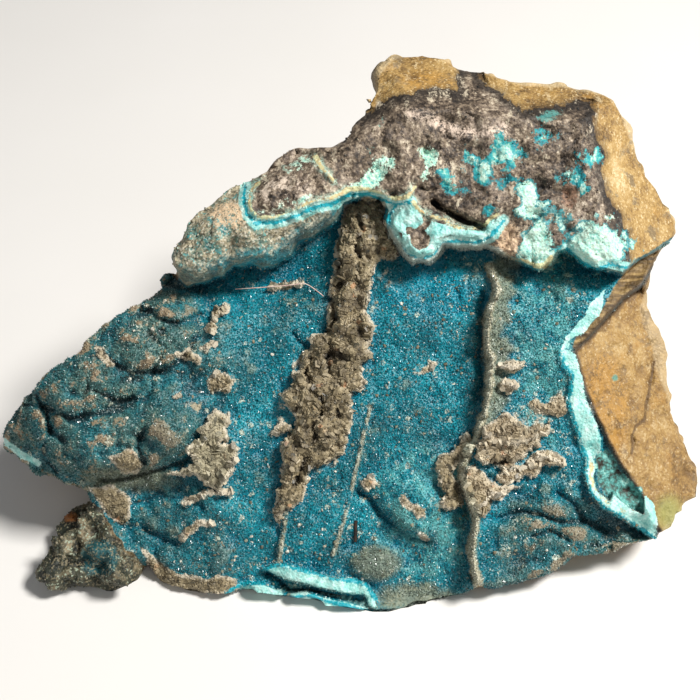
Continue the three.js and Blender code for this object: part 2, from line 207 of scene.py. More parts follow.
# Brown crust lying on the blue sheet: how thick it is, how wide its edge and its outline
crusts = {
    "column": (2.3, 0.7, [
        (-0.7, 58.8), (-1.6, 54), (-2.4, 49), (-3.1, 44.5), (-3.4, 41), (-5.3, 39.4), (-5.3, 38),
        (-7.1, 38), (-7.4, 37.1), (-7, 34.7), (-8.3, 34.7), (-8.4, 32.6), (-9.7, 31.3), (-8.9, 30),
        (-7.6, 27.9), (-8, 26.1), (-10.1, 24.4), (-9.3, 21.4), (-10, 18.3), (-10.9, 15), (-10.2, 12.5),
        (-9.6, 14.2), (-8.3, 15.7), (-6.7, 17.6), (-5.9, 20.1), (-2, 22.6), (0.1, 24.4), (-0.7, 26),
        (0.1, 27.6), (-0.1, 29.3), (0.7, 32.1), (2.3, 33.6), (1.6, 35.6), (2.9, 37.3), (2.7, 38.7),
        (3.3, 41.1), (2.4, 43.7), (2.9, 46.9), (4.3, 50.7), (6, 50.9), (6.7, 51.8), (6.1, 53.9),
        (5.2, 56), (5.2, 59), (3, 60.5),
    ]),
    "rightShelf": (2.1, 0.35, [
        (18.5, 25), (19.5, 27.3), (21, 28.3), (22.3, 29.2), (23.6, 28), (25.5, 26.8), (27.2, 27.1),
        (28.9, 27.9), (28.6, 26.2), (27.6, 25.2), (27.1, 24.1), (24.9, 22.8), (24, 21.9), (22.3, 20.9),
        (20.6, 21.4), (19.3, 21.5), (18, 22.4),
    ]),
    "rightTongue": (1.5, 0.35, [
        (21.2, 19.1), (22, 20.8), (24, 21.4), (26, 22.6), (28.1, 23.8), (30.3, 22.8), (30.7, 21.5),
        (28.8, 21.3), (27.4, 21.4), (26.6, 20.2), (25, 19.5), (23.6, 19.3), (22.4, 18.8),
    ]),
    "ridgeFoot": (1.6, 0.5, [
        (16, 19.3), (17, 21.6), (19, 20.6), (20.4, 18.9), (22.5, 18.2), (24.6, 18.5), (23, 17.4),
        (20.9, 16.4), (19.6, 15), (18.4, 14.2), (17.2, 16),
    ]),
    "leftOfRidge": (1.7, 0.4, [
        (12.1, 22.9), (13.6, 22.6), (15.6, 24.6), (16.7, 26.6), (17.4, 24.5), (16.4, 21.9), (14.7, 20),
        (16, 18.2), (15.4, 15.3), (14.2, 14.8), (12.8, 15.6), (13.6, 17.4), (12.9, 19), (12.1, 20.7),
    ]),
    "bigLeft": (1.9, 0.3, [
        (-19.4, 29.2), (-17.4, 28.5), (-17.6, 25.7), (-18.7, 24.6), (-16.9, 24.7), (-15.8, 23.8),
        (-16.5, 22.7), (-15.8, 22.3), (-17, 20.2), (-18, 18.7), (-19.1, 17.9), (-20.4, 18.5),
        (-21.6, 19.7), (-23.4, 20), (-26.6, 20.3), (-23, 21.3), (-22.2, 22.3), (-23.4, 23.6),
        (-21.6, 25), (-20.9, 26.6),
    ]),
    "strip": (0.55, 0.25, [
        (-24.6, 16.2), (-22.9, 17.3), (-20, 17.6), (-17, 18.2), (-17.2, 17.6), (-19.6, 17), (-22, 16.3),
        (-24.2, 15.8),
    ]),
    "diamond": (0.5, 0.3, [
        (-20.2, 33.8), (-18, 34.8), (-16.5, 33.8), (-17.4, 32.2), (-19.6, 31.4), (-20.4, 32.4),
    ]),
    "triangle": (0.5, 0.3, [(-23.3, 30.5), (-21, 30.3), (-21.9, 28.8)]),
    "smallLeft": (0.7, 0.5, [(-20.8, 38.6), (-19.4, 39.3), (-18.6, 38.2), (-20, 37.6)]),
    "chip": (1, 0.3, [(-11.6, 25.6), (-10, 28.1), (-8.3, 26.6), (-9.6, 26.1)]),
    "rightPatch": (0.9, 0.8, [
        (25.4, 30.6), (27.8, 30.6), (30.3, 31.7), (31, 29.6), (30.2, 28.3), (28.2, 28.6), (26, 29.4),
    ]),
    "bladeHigh": (1.3, 0.3, [(20.8, 35.4), (23.4, 36.4), (25.4, 36), (23.6, 34.9)]),
    "bladeMid": (1.6, 0.3, [(20.8, 33.2), (22.6, 33.8), (24.4, 33), (23.9, 32), (21.8, 31.9)]),
    "bladeLeft": (1, 0.25, [
        (-21.2, 41), (-19.2, 43.6), (-17.2, 45), (-17.6, 43.4), (-19.2, 41.4), (-20.6, 40.3),
    ]),
    "lowLeft": (0.4, 0.3, [
        (-37.4, 18.2), (-34, 18.6), (-31.4, 17), (-31.4, 14.8), (-32.6, 12.8), (-34.6, 14),
    ]),
    "footLeft": (0.35, 0.4, [
        (-29.6, 9.6), (-26.6, 7.2), (-24, 5.6), (-20, 5.4), (-16.6, 5.6), (-16, 3), (-28.6, 3),
    ]),
    "ridgeLeft": (0.5, 0.25, [
        (-24.6, 10.6), (-23, 13), (-20.6, 13.7), (-19, 13.4), (-21.4, 12.6), (-23.4, 10.4),
    ]),
    "shelfUnder": (0.3, 0.3, [(-34.6, 22.6), (-31, 23.8), (-29.8, 21.6), (-30.6, 20.2), (-33, 20.6)]),
    "lobeChips": (0.4, 0.25, [
        (-25.4, 37.4), (-24.2, 37.8), (-23.2, 38.6), (-22.4, 37.4), (-21, 36.8), (-21.6, 35.8),
        (-23.4, 36.2),
    ]),
    "whiteFlake": (0.5, 0.25, [(-25.8, 31), (-24.6, 32.3), (-24, 31.4), (-24.9, 30.8)]),
    "peachFlake": (0.5, 0.4, [
        (-36.4, 38.6), (-35.2, 38.2), (-34.3, 36.4), (-33, 35.6), (-34.4, 35.4), (-35.8, 36.6),
    ]),
    "centreFlake": (0.5, 0.3, [(9.6, 35), (11.2, 36.6), (12.8, 36.2), (11.8, 35.2), (10.6, 34.2)]),
    "lowFlakes": (0.8, 0.4, [(1.6, 19.2), (2.6, 20.4), (3.6, 19.2), (3, 17.8), (1.8, 18)]),
    "lowWhite": (0.4, 0.4, [
        (6.8, 17), (7.8, 17.2), (8.8, 16), (10.6, 15.4), (10.9, 14), (9.6, 13.6), (9, 14.8), (7.6, 15.4),
    ]),
    "lowChip": (0.4, 0.3, [(9.4, 11.8), (10.4, 11.9), (11.2, 11), (10, 10.8)]),
    "fibreChips": (0.9, 0.3, [
        (-12, 46.4), (-11.4, 47.6), (-8, 47.8), (-6.6, 48.2), (-7.2, 47.2), (-10.6, 46.5),
    ]),
}
# Pale turquoise bands that the blue sheet shows where it is broken across
bands = {
    "sideBand": [
        (29.7, 37.9), (30.3, 35.6), (31.7, 34), (31.1, 30.8), (31.9, 27.7), (33, 23.8), (33.8, 22.2),
        (33.5, 20), (34.3, 17.5), (36, 15.5), (38.9, 13.9), (43.7, 10.8), (44.2, 13.2), (43.4, 16.2),
        (42.2, 17.2), (42, 14.4), (40.2, 15.1), (38.9, 16.2), (37.6, 17.6), (37.2, 16.2), (35.4, 17.8),
        (34.8, 20), (35.1, 22.2), (36, 23.6), (36, 25.1), (35.1, 27.7), (33.8, 30.8), (33, 34.7),
        (32.2, 37.3), (31.4, 38),
    ],
    "footUpper": [
        (-12.4, 6.6), (-10.6, 7.4), (-8, 6.9), (-5.2, 6.1), (-2, 5.2), (0, 5.3), (1.9, 4.7), (3.5, 3.1),
        (4.1, 0.5), (2.8, 1.2), (2, 2.9), (0.2, 3), (-2.6, 3.5), (-5.4, 4.1), (-8.6, 4.9), (-10.4, 5.6),
    ],
    "footLower": [(-15.6, 4.2), (-12.4, 4.4), (-9.4, 3), (-10.8, 2.1), (-14, 2.7)],
    "footRight": [
        (-8.7, 3), (-6.3, 3.4), (-3, 2.3), (0, 1.7), (2.4, 1), (3.4, -0.4), (-3, -0.4), (-6, 1.2),
    ],
    "loopLeft": [
        (8.8, 59.2), (7, 57.9), (6, 56.2), (6.7, 54.7), (7.9, 54.4), (8.3, 55.4), (9.5, 55.2),
        (10.6, 56.4), (9.6, 58),
    ],
    "loopFoot": [
        (7.4, 54.6), (7.3, 53.4), (8.6, 51.8), (10.2, 51.2), (11.8, 51.6), (12.8, 52.8), (12.9, 54),
        (14.6, 54.2), (17.4, 53.9), (19.4, 54.5), (20.9, 55.9), (21.6, 56.9), (20, 56.4), (18.6, 55.2),
        (16, 55.2), (13.8, 55.8), (11.6, 56.4), (10.6, 55), (11.6, 53.9), (11.2, 52.8), (9.9, 52.3),
        (8.9, 52.9), (8.5, 54.4),
    ],
    "tipVein": [(-49.4, 25.4), (-46.8, 23.6), (-44, 21.9), (-44.6, 21.2), (-47.2, 22.4), (-49.6, 24.4)],
    "notchHigh": [
        (36.8, 47), (34.6, 44.6), (33, 42.6), (31, 39.8), (30.6, 38.8), (32.4, 39.4), (34.6, 41.6),
        (36.2, 44),
    ],
    "notchLow": [(30.8, 39.6), (29.9, 38), (31.9, 38.2)],
}
# What grows in the deck's pores: pale lacy growth, speckled pale green, strong turquoise, dull teal
poreGrowths = {
    "growth": [
        [
            (24.3, 55), (26.5, 55.8), (29.8, 54.9), (29.5, 53), (29, 51.2), (28, 49.9), (25.5, 50.5),
            (24.2, 51.5), (24.6, 53.5),
        ],
        [
            (31.1, 52.6), (31.9, 55), (32.6, 56.9), (34.4, 56.6), (35.4, 55), (36.9, 55.6), (38.4, 55.2),
            (38.6, 53.4), (40.2, 51.2), (39, 50), (37.4, 50.6), (35.4, 49.6), (33.2, 50.6),
        ],
        [
            (24.7, 58), (25.6, 59.8), (27, 60.4), (29, 59.3), (28.4, 58.4), (27.4, 57.9), (27, 56.6),
            (25.8, 56.7),
        ],
        [(28.8, 56), (30.4, 57.4), (31.8, 56.2), (31.4, 54.2), (30, 54)],
        [(36.2, 20.8), (37.6, 20.4), (38.8, 18.8), (40.6, 17.4), (40, 16.4), (38, 17.4), (36.4, 19)],
        [(24.3, 60.9), (26, 62), (27.2, 61.2), (25.8, 60.2)],
        [(20.9, 66.6), (21.9, 67.9), (23.2, 67.6), (22.9, 66.4), (22, 65.6)],
        [(18.4, 65.4), (19.4, 65.2), (20.5, 63.6), (19.6, 63.8)],
        [(30.4, 62.6), (31.6, 63.5), (32.6, 62.3), (31.8, 62.8)],
    ],
    "speckle": [
        [(-1, 60.6), (1.2, 62.6), (4, 65.2), (6.9, 66), (6.6, 63.6), (4.4, 61.4), (2.4, 60.4)],
        [
            (9.2, 67), (12.6, 66.8), (12.9, 65), (11.7, 63.6), (12, 62.2), (9.8, 61.9), (9.3, 59.8),
            (8.6, 60.6), (10.2, 64.6),
        ],
        [(-12.6, 62.8), (-10, 64.6), (-6.4, 66.4), (-5, 65), (-6.6, 63.4), (-9, 63.8), (-11.4, 62)],
        [
            (-14.3, 58.6), (-12.6, 57.2), (-9.4, 57.6), (-5, 59.8), (-1.4, 60.4), (-4.6, 60.4),
            (-8.6, 59), (-12, 58.6),
        ],
        [(29.4, 57.4), (32, 58.4), (32.8, 57.2), (30.4, 56.6)],
        [(36.6, 57.4), (38.2, 56.6), (37.4, 55.8), (36, 56.6)],
    ],
    "turquoise": [
        [
            (17, 65.5), (18.6, 66), (20.2, 68.6), (23, 69), (25.4, 68), (26.2, 67), (28, 67.4),
            (30.8, 68.8), (30.2, 70), (27.6, 68.8), (25.2, 68.6), (24.4, 66.4), (23, 65), (20.6, 64),
            (19.4, 62), (18.2, 61.8), (16.8, 63.2),
        ],
        [(13, 62.9), (14.4, 63.2), (15.2, 62.2), (16.8, 60.6), (15.2, 60.4), (13.6, 61.6)],
        [(21.8, 64.4), (24.2, 64.4), (23.7, 61.8), (22.3, 61.5)],
        [
            (33, 66.9), (35.6, 67), (35, 64.6), (34, 62.4), (33.8, 60.4), (32.2, 61.2), (30.6, 61.8),
            (32.2, 64.2),
        ],
        [(28.7, 51), (29.9, 52.6), (30.2, 54.3), (31.1, 54), (31.2, 52.4), (30.2, 51.4), (29.6, 50.4)],
        [(17.7, 59.5), (18.6, 59.9), (18.8, 58.8)],
        [(19.7, 60.2), (20.4, 60), (20.9, 57.4), (20.2, 57.6)],
        [(34.2, 53.6), (35.8, 54), (36, 52.8), (34.8, 52.6)],
        [(26.1, 53.9), (26.9, 54.2), (26.9, 53), (26.2, 52.9)],
    ],
    "teal": [
        [(26.3, 71.3), (28.4, 72.4), (30.8, 72.4), (29.6, 70.8), (27.6, 70.2)],
        [(4.4, 71.4), (5.2, 71), (4.9, 69.4), (4.4, 69.8)],
        [(2.9, 67.9), (3.7, 68), (3.1, 66.2), (2.7, 66.4)],
        [
            (35, 21.6), (36.6, 22.4), (39.4, 20), (41.8, 17.4), (41, 15.6), (38.6, 16.6), (36.4, 18.4),
            (35.2, 19.8),
        ],
        [(-15, 62.6), (-13.6, 62.2), (-14.2, 59.6), (-15, 59.9)],
        [(-12.6, 56.4), (-9, 57.2), (-8.6, 56.4), (-11.4, 55.4)],
    ],
}
# How far noise frets each growth's edge and how much wider it is made
laces = {"growth": (1.6, 0), "speckle": (1.3, -0.2), "turquoise": (1.5, 0.3), "teal": (0.4, 0)}
armDruse = [
    (-28, 45), (-28, 56), (-20, 61), (-15.6, 62), (-15.3, 57.4), (-13.4, 55.8), (-10, 55.7), (-5, 58),
    (0, 59.7), (5, 58.6), (5, 54), (0, 50), (-10, 47), (-20, 44),
]
granularBand = [(8.6, 71.6), (10.6, 71.4), (13, 70.2), (15.6, 69), (18.6, 68.9), (22, 69.6)]
# Fine cream lines and the cyan lines that run beside them
creamLines = [
    [
        (-13, 61.9), (-14.2, 60.6), (-14.6, 59.4), (-14.3, 58), (-13, 56.8), (-10.8, 56.9), (-7.9, 57.9),
        (-5.4, 59.2), (-2.8, 59.5), (-0.3, 60.9), (2.4, 60.9), (4.4, 60.3), (6.4, 59.5), (8.2, 59.8),
        (9.2, 61.2),
    ],
    [(-5, 65.5), (-3.8, 63.9), (-2.2, 62)],
    [
        (8.9, 59.2), (10, 57.8), (12, 56.9), (13.6, 56.6), (14.6, 55.6), (16.8, 55.1), (19, 55.6),
        (20.4, 56.8), (21.4, 57.4),
    ],
    [(24.6, 50.8), (26.6, 49.9), (27.9, 49.9), (28.9, 51.2)],
    [(34.6, 22.6), (34.3, 20), (35, 17.9), (36.8, 16.1), (39.4, 14.7)],
]
cyanLines = [
    [
        (-14.9, 61.4), (-15.2, 59.6), (-14.8, 57.4), (-13.4, 56.1), (-10.6, 56.1), (-7.6, 57.1),
        (-5, 58.4), (-2.4, 58.8), (0, 60.1), (2.4, 60.2), (4.2, 59.5), (5.8, 58.9),
    ],
    [
        (8.7, 59.1), (6.6, 58.6), (5.5, 56.9), (5.7, 55.1), (6.6, 53.4), (8.1, 51.5), (10.2, 50.8),
        (12.3, 51.6), (13.4, 53.2), (15.4, 53.5), (17.6, 53.1), (19.8, 53.9), (21.2, 55.4), (22, 56.4),
    ],
    [
        (30, 38), (30.5, 35.8), (31.9, 34.2), (31.3, 30.8), (32.1, 27.8), (33.2, 23.9), (34, 22.2),
        (33.7, 20), (34.5, 17.6), (36.1, 15.7), (39, 14), (43.8, 10.9),
    ],
    [(-12.2, 6.6), (-10.4, 7.2), (-7.8, 6.6), (-5, 5.9), (-2, 5), (0.6, 5), (2.4, 4.1), (3.8, 2.2)],
    [(-8.4, 2.4), (-6, 2.8), (-3, 1.9), (0, 1.2), (3, 0.4)],
    [(-17.6, 3.2), (-15.6, 4.4), (-12.4, 4.6)],
    [(31.1, 52.4), (33, 50.4), (35.4, 49.3), (37.2, 50.2), (39.6, 49.6)],
]
# Pale fins of old crack filling that cross the blue sheet: half width, height and line
fins = [
    (0.45, 0.9, [(-9.1, 14.6), (-9.7, 10.6), (-10.1, 7.6)]),
    (0.22, 0.4, [(3.1, 30.4), (2, 26.1), (1, 21.4), (-0.7, 14), (-2.3, 9), (-2.9, 7.3)]),
    (0.4, 0.5, [(17.7, 13), (17.5, 10), (17.6, 7.4), (18.2, 5.7)]),
]
# Thin upturned edges of the crust plates
plateEdges = [
    [(18.8, 26.6), (20.6, 25), (22.6, 24.4), (25, 25), (27.3, 25.4), (28.7, 26.7)],
    [
        (18.8, 22), (20, 20.4), (21.3, 19.8), (22.6, 20.8), (24.4, 21.2), (26, 21.8), (27.3, 22.8),
        (30, 22),
    ],
    [(18.8, 16), (20.6, 17.2), (22.6, 18), (25.3, 18.6)],
    [(21, 33.6), (22.6, 33), (24.6, 32.4)],
    [(21, 35.4), (23.2, 35.7), (25.3, 36.1)],
    [(-17.4, 25.6), (-16, 23.6), (-16.6, 21.4), (-18.4, 19)],
    [(-24.4, 16.1), (-21, 16.7), (-17.4, 17.9)],
]
ridge = {
    "height": 1.9, "width": 0.45,  # millimetres
    "step": 1.9,  # how far the right side stands up
    "line": [
        (20, 49.9), (20.7, 47.9), (20.9, 46.4), (19.9, 44.1), (19.6, 42), (19.6, 38.3), (20.2, 36.4),
        (19.9, 34.4), (19.9, 31.9), (19.3, 29.3), (18.1, 25.9), (17.1, 23.7), (16.2, 21.7), (15.9, 19.6),
        (16.9, 16.6), (18, 14), (17.6, 11.4), (17.5, 7.4), (18.2, 4),
    ],
}
# The mottled floor of the pocket between the side band and the ochre
pocket = [
    (35.2, 22.6), (36.8, 24.2), (38.4, 21.4), (40.6, 18.8), (42.2, 16.6), (42, 14.4), (40, 15.2),
    (37.4, 16.4), (35.6, 18.4), (35, 20.6),
]
# The dusty strip along the right foot of the ridge
fringe = [
    (20.6, 52), (24.6, 51), (23.6, 48.6), (22.8, 46), (22, 44), (22.6, 42), (21.6, 40), (23, 38),
    (22.6, 36.5), (21.8, 34), (22.4, 31), (21, 29), (19.6, 27), (18, 26), (19, 29.5), (19.4, 34),
    (19.4, 38), (19.2, 42), (20.4, 45), (20.4, 48),
]
# Rounded lobes of the blue sheet: middle, half widths, turn in degrees, height and steepness
lobes = [
    (-24.8, 44.7, 4.3, 2.7, 5, 2.5, 3), (-28.8, 39.2, 6.8, 4.2, 25, 3, 1.8),
    (-38.6, 32.2, 7.4, 4, 18, 2.5, 1.8), (-32.6, 24.8, 10.5, 4.6, 8, 3.4, 2.4),
    (-24.6, 27, 4.5, 4.6, 0, 2.1, 1.8), (-18, 41, 5, 7, 0, 1.2, 1), (-44.6, 27.4, 4.6, 3.2, 20, 1.3, 1.5),
    (9, 15.4, 6.6, 4, -38, 2.2, 2.6), (3.6, 7.4, 3.5, 2.6, 10, 2, 2), (-22, 7.6, 5.5, 3.2, 5, 1.6, 1.5),
    (-24, 13.6, 6.4, 3.2, 12, 1.4, 1.6), (27, 13, 5, 3, 10, 1, 1.2),
    (-36.6, 36.6, 3.6, 2.4, 30, 1.4, 2.2), (-27.6, 31.4, 4.4, 2.6, 10, 1.2, 2),
    (-20.6, 36, 3.4, 2.4, 40, 0.9, 1.6), (31.5, 11.6, 3.4, 1.8, 14, 0.9, 2),
    (24.5, 9.4, 3.6, 1.8, 8, 0.8, 2),
]
crack = [(43.4, 36.3), (42.9, 33.8), (42.7, 31.5), (42.1, 28), (40.9, 27), (40.3, 25.6), (40.2, 23.2)]
# Furrows and cracks: half width, depth and line
furrows = [
    (0.45, 1.2, [(-29.3, 44.1), (-27.4, 42.6), (-24.6, 41.7), (-21.4, 43)]),
    (0.5, 0.8, [(-35, 36.9), (-31.4, 34.8), (-27, 34.7), (-24.3, 36.4), (-22.2, 39.6)]),
    (0.6, 1.2, [(-42.6, 29.6), (-39.7, 28), (-35, 28.8), (-31.9, 30.6)]),
    (0.45, 1.8, [(-35.4, 19.4), (-32.1, 19.5), (-29.6, 20.3), (-27, 21), (-23.2, 22.2)]),
    (0.42, 3.2, [(12.1, 59), (14, 57.6), (16.6, 56.3), (19.1, 55.4)]),
    (0.3, 1.2, [(-8.2, 40.3), (-7.2, 39), (-5.5, 38.2)]),
    (0.55, 2.4, [(-1.4, 47.4), (-2.4, 45), (-2.2, 42.8), (-3, 40.6)]),
    (0.4, 1.4, [(-2.6, 38.4), (-3.6, 36.4), (-3.2, 34.6)]),
    (0.35, 1.5, [(-4.2, 31), (-4, 28.8), (-5.2, 27.4), (-4.8, 25.6)]),
    (0.3, 1, [(-0.8, 31.6), (-1.6, 30), (-1.2, 28.4)]),
    (0.3, 1.2, [(-5.6, 36.6), (-6.4, 34.8), (-6, 33.4)]),
    (0.4, 1.4, [(-6.4, 22.4), (-7, 20.4), (-8, 18.6)]),
    (0.4, 1.6, [(1.2, 57), (1.8, 54.8), (0.8, 53), (1.2, 51.2)]),
    (0.35, 1.4, [(-1.6, 53), (-1.2, 50.4), (-1.9, 48.6)]),
    (0.7, 1.3, [(-43.4, 30), (-43, 27), (-41.2, 25)]),
    (0.5, 1.2, [(-29.6, 26.6), (-30.4, 24), (-29.2, 21.8)]),
    (0.6, 1.6, [(18.9, 46), (19, 42), (18.7, 38), (18.8, 34), (18.6, 31)]),
    (0.6, 1.5, [(15.4, 18.6), (16, 16.6), (16.9, 14.4)]),
    (0.5, 1.5, [(1.3, 17.5), (3, 16.4), (5, 14.2), (6.9, 12.6), (9, 11.2), (11, 10.6)]),
    (0.35, 2.2, [(-12, 6), (-10, 4.9), (-8.8, 3.5), (-6, 3.7), (-3, 3), (0.4, 2.4), (2.2, 2.2)]),
    (0.25, 0.4, crack),
    (0.4, 1.8, [(20.4, 21.9), (21.4, 21.7), (22.4, 22.1)]),
    (0.6, 1.7, [(21.6, 13.8), (24, 14.8), (27, 14.4), (30, 13.2), (33.2, 13.2)]),
    (0.5, 1.3, [(26, 11.2), (28.6, 12), (31, 10.8)]),
    (0.5, 1.3, [(29.6, 17.6), (32, 16), (33.4, 13.8), (36.6, 12)]),
    (0.5, 1.2, [(-44.6, 31.4), (-43.4, 29), (-42.8, 26.4)]),
    (0.5, 1, [(-29.4, 12.4), (-26.6, 10.6), (-24.6, 10.2)]),
]
# Flat breaks: a place on each, its height there, the way it falls and how steeply
breaks = [
    {"at": (7.1, 74.7), "height": 1.0, "way": (-0.45, 0.89), "fall": 1.3},
    {"at": (27.9, 72.5), "height": 1.5, "way": (0.1, 0.99), "fall": 1.6},
    {"at": (37.4, 63.5), "height": 1.5, "way": (0.96, 0.28), "fall": 1.0},
]
lowBreak = {"at": (38, 25), "height": 0.5, "way": (0.9, 0.43), "fall": 0.75}


def breakHeight(flat, s, t):
    (s0, t0), (across, up) = flat["at"], flat["way"]
    return flat["height"] - flat["fall"] * ((s - s0) * across + (t - t0) * up)


def lobeHeight(lobe, s, t):
    s0, t0, halfAcross, halfUp, turn, height, sharp = lobe
    angle = math.radians(turn)
    across = ((s - s0) * math.cos(angle) + (t - t0) * math.sin(angle)) / halfAcross
    up = ((t - t0) * math.cos(angle) - (s - s0) * math.sin(angle)) / halfUp
    reach = np.hypot(across, up)
    return height * np.exp(-reach ** (2 * sharp)) * (1.1 - 0.25 * reach ** 2).clip(0.3)


def softMin(a, b, width):
    mix = np.clip(0.5 + (b - a) / (2 * width), 0, 1)
    return b + (a - b) * mix - width * mix * (1 - mix)


def most(outlines, s, t):
    # how far inside the nearest of several outlines
    return np.max([depthInside(outline, s, t) for outline in outlines], 0)


def least(lines, s, t):
    return np.min([lineDistance(line, s, t) for line in lines], 0)


def stepped(level, start, end):
    # flat treads with smooth risers between them
    return np.floor(level) + smooth(start, end, level - np.floor(level))


def faceZones(s, t):
    # distances on the face that both the relief and the colours use
    wander = 0.28 * rough(s, t, 3, 1.6, 11, 2)  # outlines wander a little, as broken edges do
    sw, tw = s + wander, t + 0.28 * rough(s, t, 8, 1.6, 15, 2)
    lace = rough(s, t, 2, 2, 17, 4)
    ragged = 0.46 * waves(s, t, 3, 1.3, 61) + 0.3 * waves(s, t, 4, 0.6, 63)
    crustDepth = np.full(s.shape, -farOff)
    plate = np.zeros(s.shape)
    for thick, edge, outline in crusts.values():
        inside = depthInside(outline, s + ragged, t - 0.8 * ragged)
        crustDepth = np.maximum(crustDepth, inside)
        plate = np.maximum(plate, thick * smooth(-0.1, edge, inside))
    # small loose flakes, more of them near the crusts and right of the ridge
    dustier = 0.3 * smooth(-2.6, -0.3, crustDepth)
    dustier += 0.16 * smooth(19, 23, s) * smooth(42, 36, t) * smooth(17, 21, t)
    flake = 0.6 * (rough(s, t, 3, 1.9, 141, 3) - 1.16 + dustier)
    zones = {
        "edge": depthInside(silhouette, s, t),
        "shelf": depthInside(shelf, s + 0.5 * wander, tw),
        "deck": depthInside(darkDeck, sw, tw),
        "lowBreak": depthInside(lowerBreak, s + 0.4 * wander, t),
        "notch": depthInside(notchWall, s, t),
        "crust": np.maximum(crustDepth, flake),
        "plate": np.maximum(plate, 0.5 * smooth(-0.05, 0.15, flake)),
        "pale": most(bands.values(), s + 0.6 * wander, t - 0.5 * wander) + 0.12 * lace,
        "cream": least(creamLines, s + 0.5 * wander, t) - 0.2 * lace,
        "cyan": least(cyanLines, s + 0.3 * wander, t) - 0.06 * lace,
        "fins": least([line for _, _, line in fins], s, t),
        "plateEdge": least(plateEdges, s + 0.8 * ragged, t - 0.6 * ragged),
        "ridge": lineDistance(ridge["line"], s + 0.8 * wander + 0.6 * ragged, t),
        "fringe": depthInside(fringe, sw + 1.4 * ragged, tw),
        "pocket": depthInside(pocket, sw, tw),
        "crack": lineDistance(crack, s + 0.6 * wander, t),
    }
    for name, (laced, wider) in laces.items():
        zones[name] = most(poreGrowths[name], sw, tw) + laced * lace + wider
    return zones


def sheetHeight(s, t, fine):
    # the blue sheet's broad swells, as the solid has them, then its lobes and small round lumps
    low = -1 + 2.6 * np.exp(-((s + 33) / 15) ** 2 - ((t - 31) / 13) ** 2)
    low -= 0.034 * np.maximum(0, -s - 37) ** 2
    low -= 2.4 * smooth(22, 17, t) * smooth(-18, -24, s)
    swayS, swayT = waves(s, t, 2, 4, 21), waves(s, t, 6, 4, 22)
    for lobe in lobes:
        low += lobeHeight(lobe, s + 0.5 * swayS, t + 0.5 * swayT)
    left = smooth(-13, -26, s)
    low += 0.75 * rough(s, t, 0, 8, 31)
    low -= 0.5 * smooth(0.5, 0.95, rough(s, t, 3, 2.8, 45, 2))
    low += (0.30 + 0.75 * left) * (clumps(s + 0.6 * swayS, t + 0.6 * swayT, 3.4, 41) - 0.5)
    low += (0.20 + 0.34 * left) * (clumps(s, t, 1.5, 43) - 0.5)
    low += (0.12 + 0.18 * left) * (fine - 0.5)
    return low - left * 0.7 * np.exp(-(rough(s, t, 1, 9, 47, 3) / 0.10) ** 2)


def ridgeHeight(s, t, zones, fine):
    # the jagged ridge, the step up to its right and the thin plates and fins that stand on the sheet
    across, up = zip(*ridge["line"][::-1])
    ridgeAt = np.interp(t, up, across)
    rise = ridge["step"] * smooth(ridgeAt - 0.4, ridgeAt + 0.3, s) * smooth(50, 47, t)
    rise -= 0.9 * smooth(ridgeAt + 1, ridgeAt + 8, s)
    underArm = smooth(1, -4, s) * smooth(-26, -21, s)
    rise -= (2.2 + 2.0 * underArm) * smooth(-5.5 - 2 * underArm, -0.6, zones["shelf"])
    rise -= 2.0 * smooth(30, 36, s) * smooth(16, 12, t)  # the dark drop inside the side band
    crest = 0.8 + 0.5 * waves(s, t, 1, 1.5, 51) + 0.45 * waves(s, t, 1, 0.6, 52)
    width = ridge["width"] * (1.1 + 0.5 * waves(s, t, 1, 2.2, 57)) * np.where(s > ridgeAt, 1.7, 0.8)
    rise += ridge["height"] * crest * np.exp(-(zones["ridge"] / width) ** 2)
    rise += 0.45 * smooth(-0.2, 0.6, zones["fringe"]) * (0.6 + 1.2 * (fine - 0.4))
    rise += 1.1 * (0.6 + 0.6 * waves(s, t, 1, 1.1, 59)) * np.exp(-(zones["plateEdge"] / 0.34) ** 2)
    roughLow = smooth(20, 25, s) * smooth(18, 14, t)
    knobs = 0.55 * rough(s, t, 1, 2.6, 151, 3) - 0.8 * np.abs(rough(s, t, 1, 4, 153, 2))
    rise += roughLow * (knobs + 0.2)
    for width, height, line in fins:
        rise += height * np.exp(-(lineDistance(line, s, t) / width) ** 4)
    return rise


def crustHeight(s, t, zones):
    # crust plates in broken steps, then the bands where the sheet is broken across
    terrace = stepped(2.6 * rough(s, t, 0, 3.4, 77, 2), 0.3, 0.7)
    lumps = 0.24 * terrace + 0.5 * rough(s, t, 0, 2.4, 71, 4)
    lumps = lumps - 1.1 * np.abs(rough(s, t, 0, 3, 75, 3)) + 0.35
    onColumn = smooth(11, 7, s) * smooth(-14, -10, s)
    rise = zones["plate"] * (1 + (0.35 + 0.2 * onColumn) * lumps)
    sideEdge = depthInside(bands["sideBand"], s, t)
    rise += (0.7 + 2.1 * smooth(22, 13, t)) * smooth(-0.25, 0.05, sideEdge)
    foot = most([bands["footUpper"], bands["footLower"], bands["footRight"]], s, t)
    return rise + (1.5 + 0.35 * rough(s, t, 2, 1.1, 87, 2)) * smooth(-0.2, 0.1, foot)


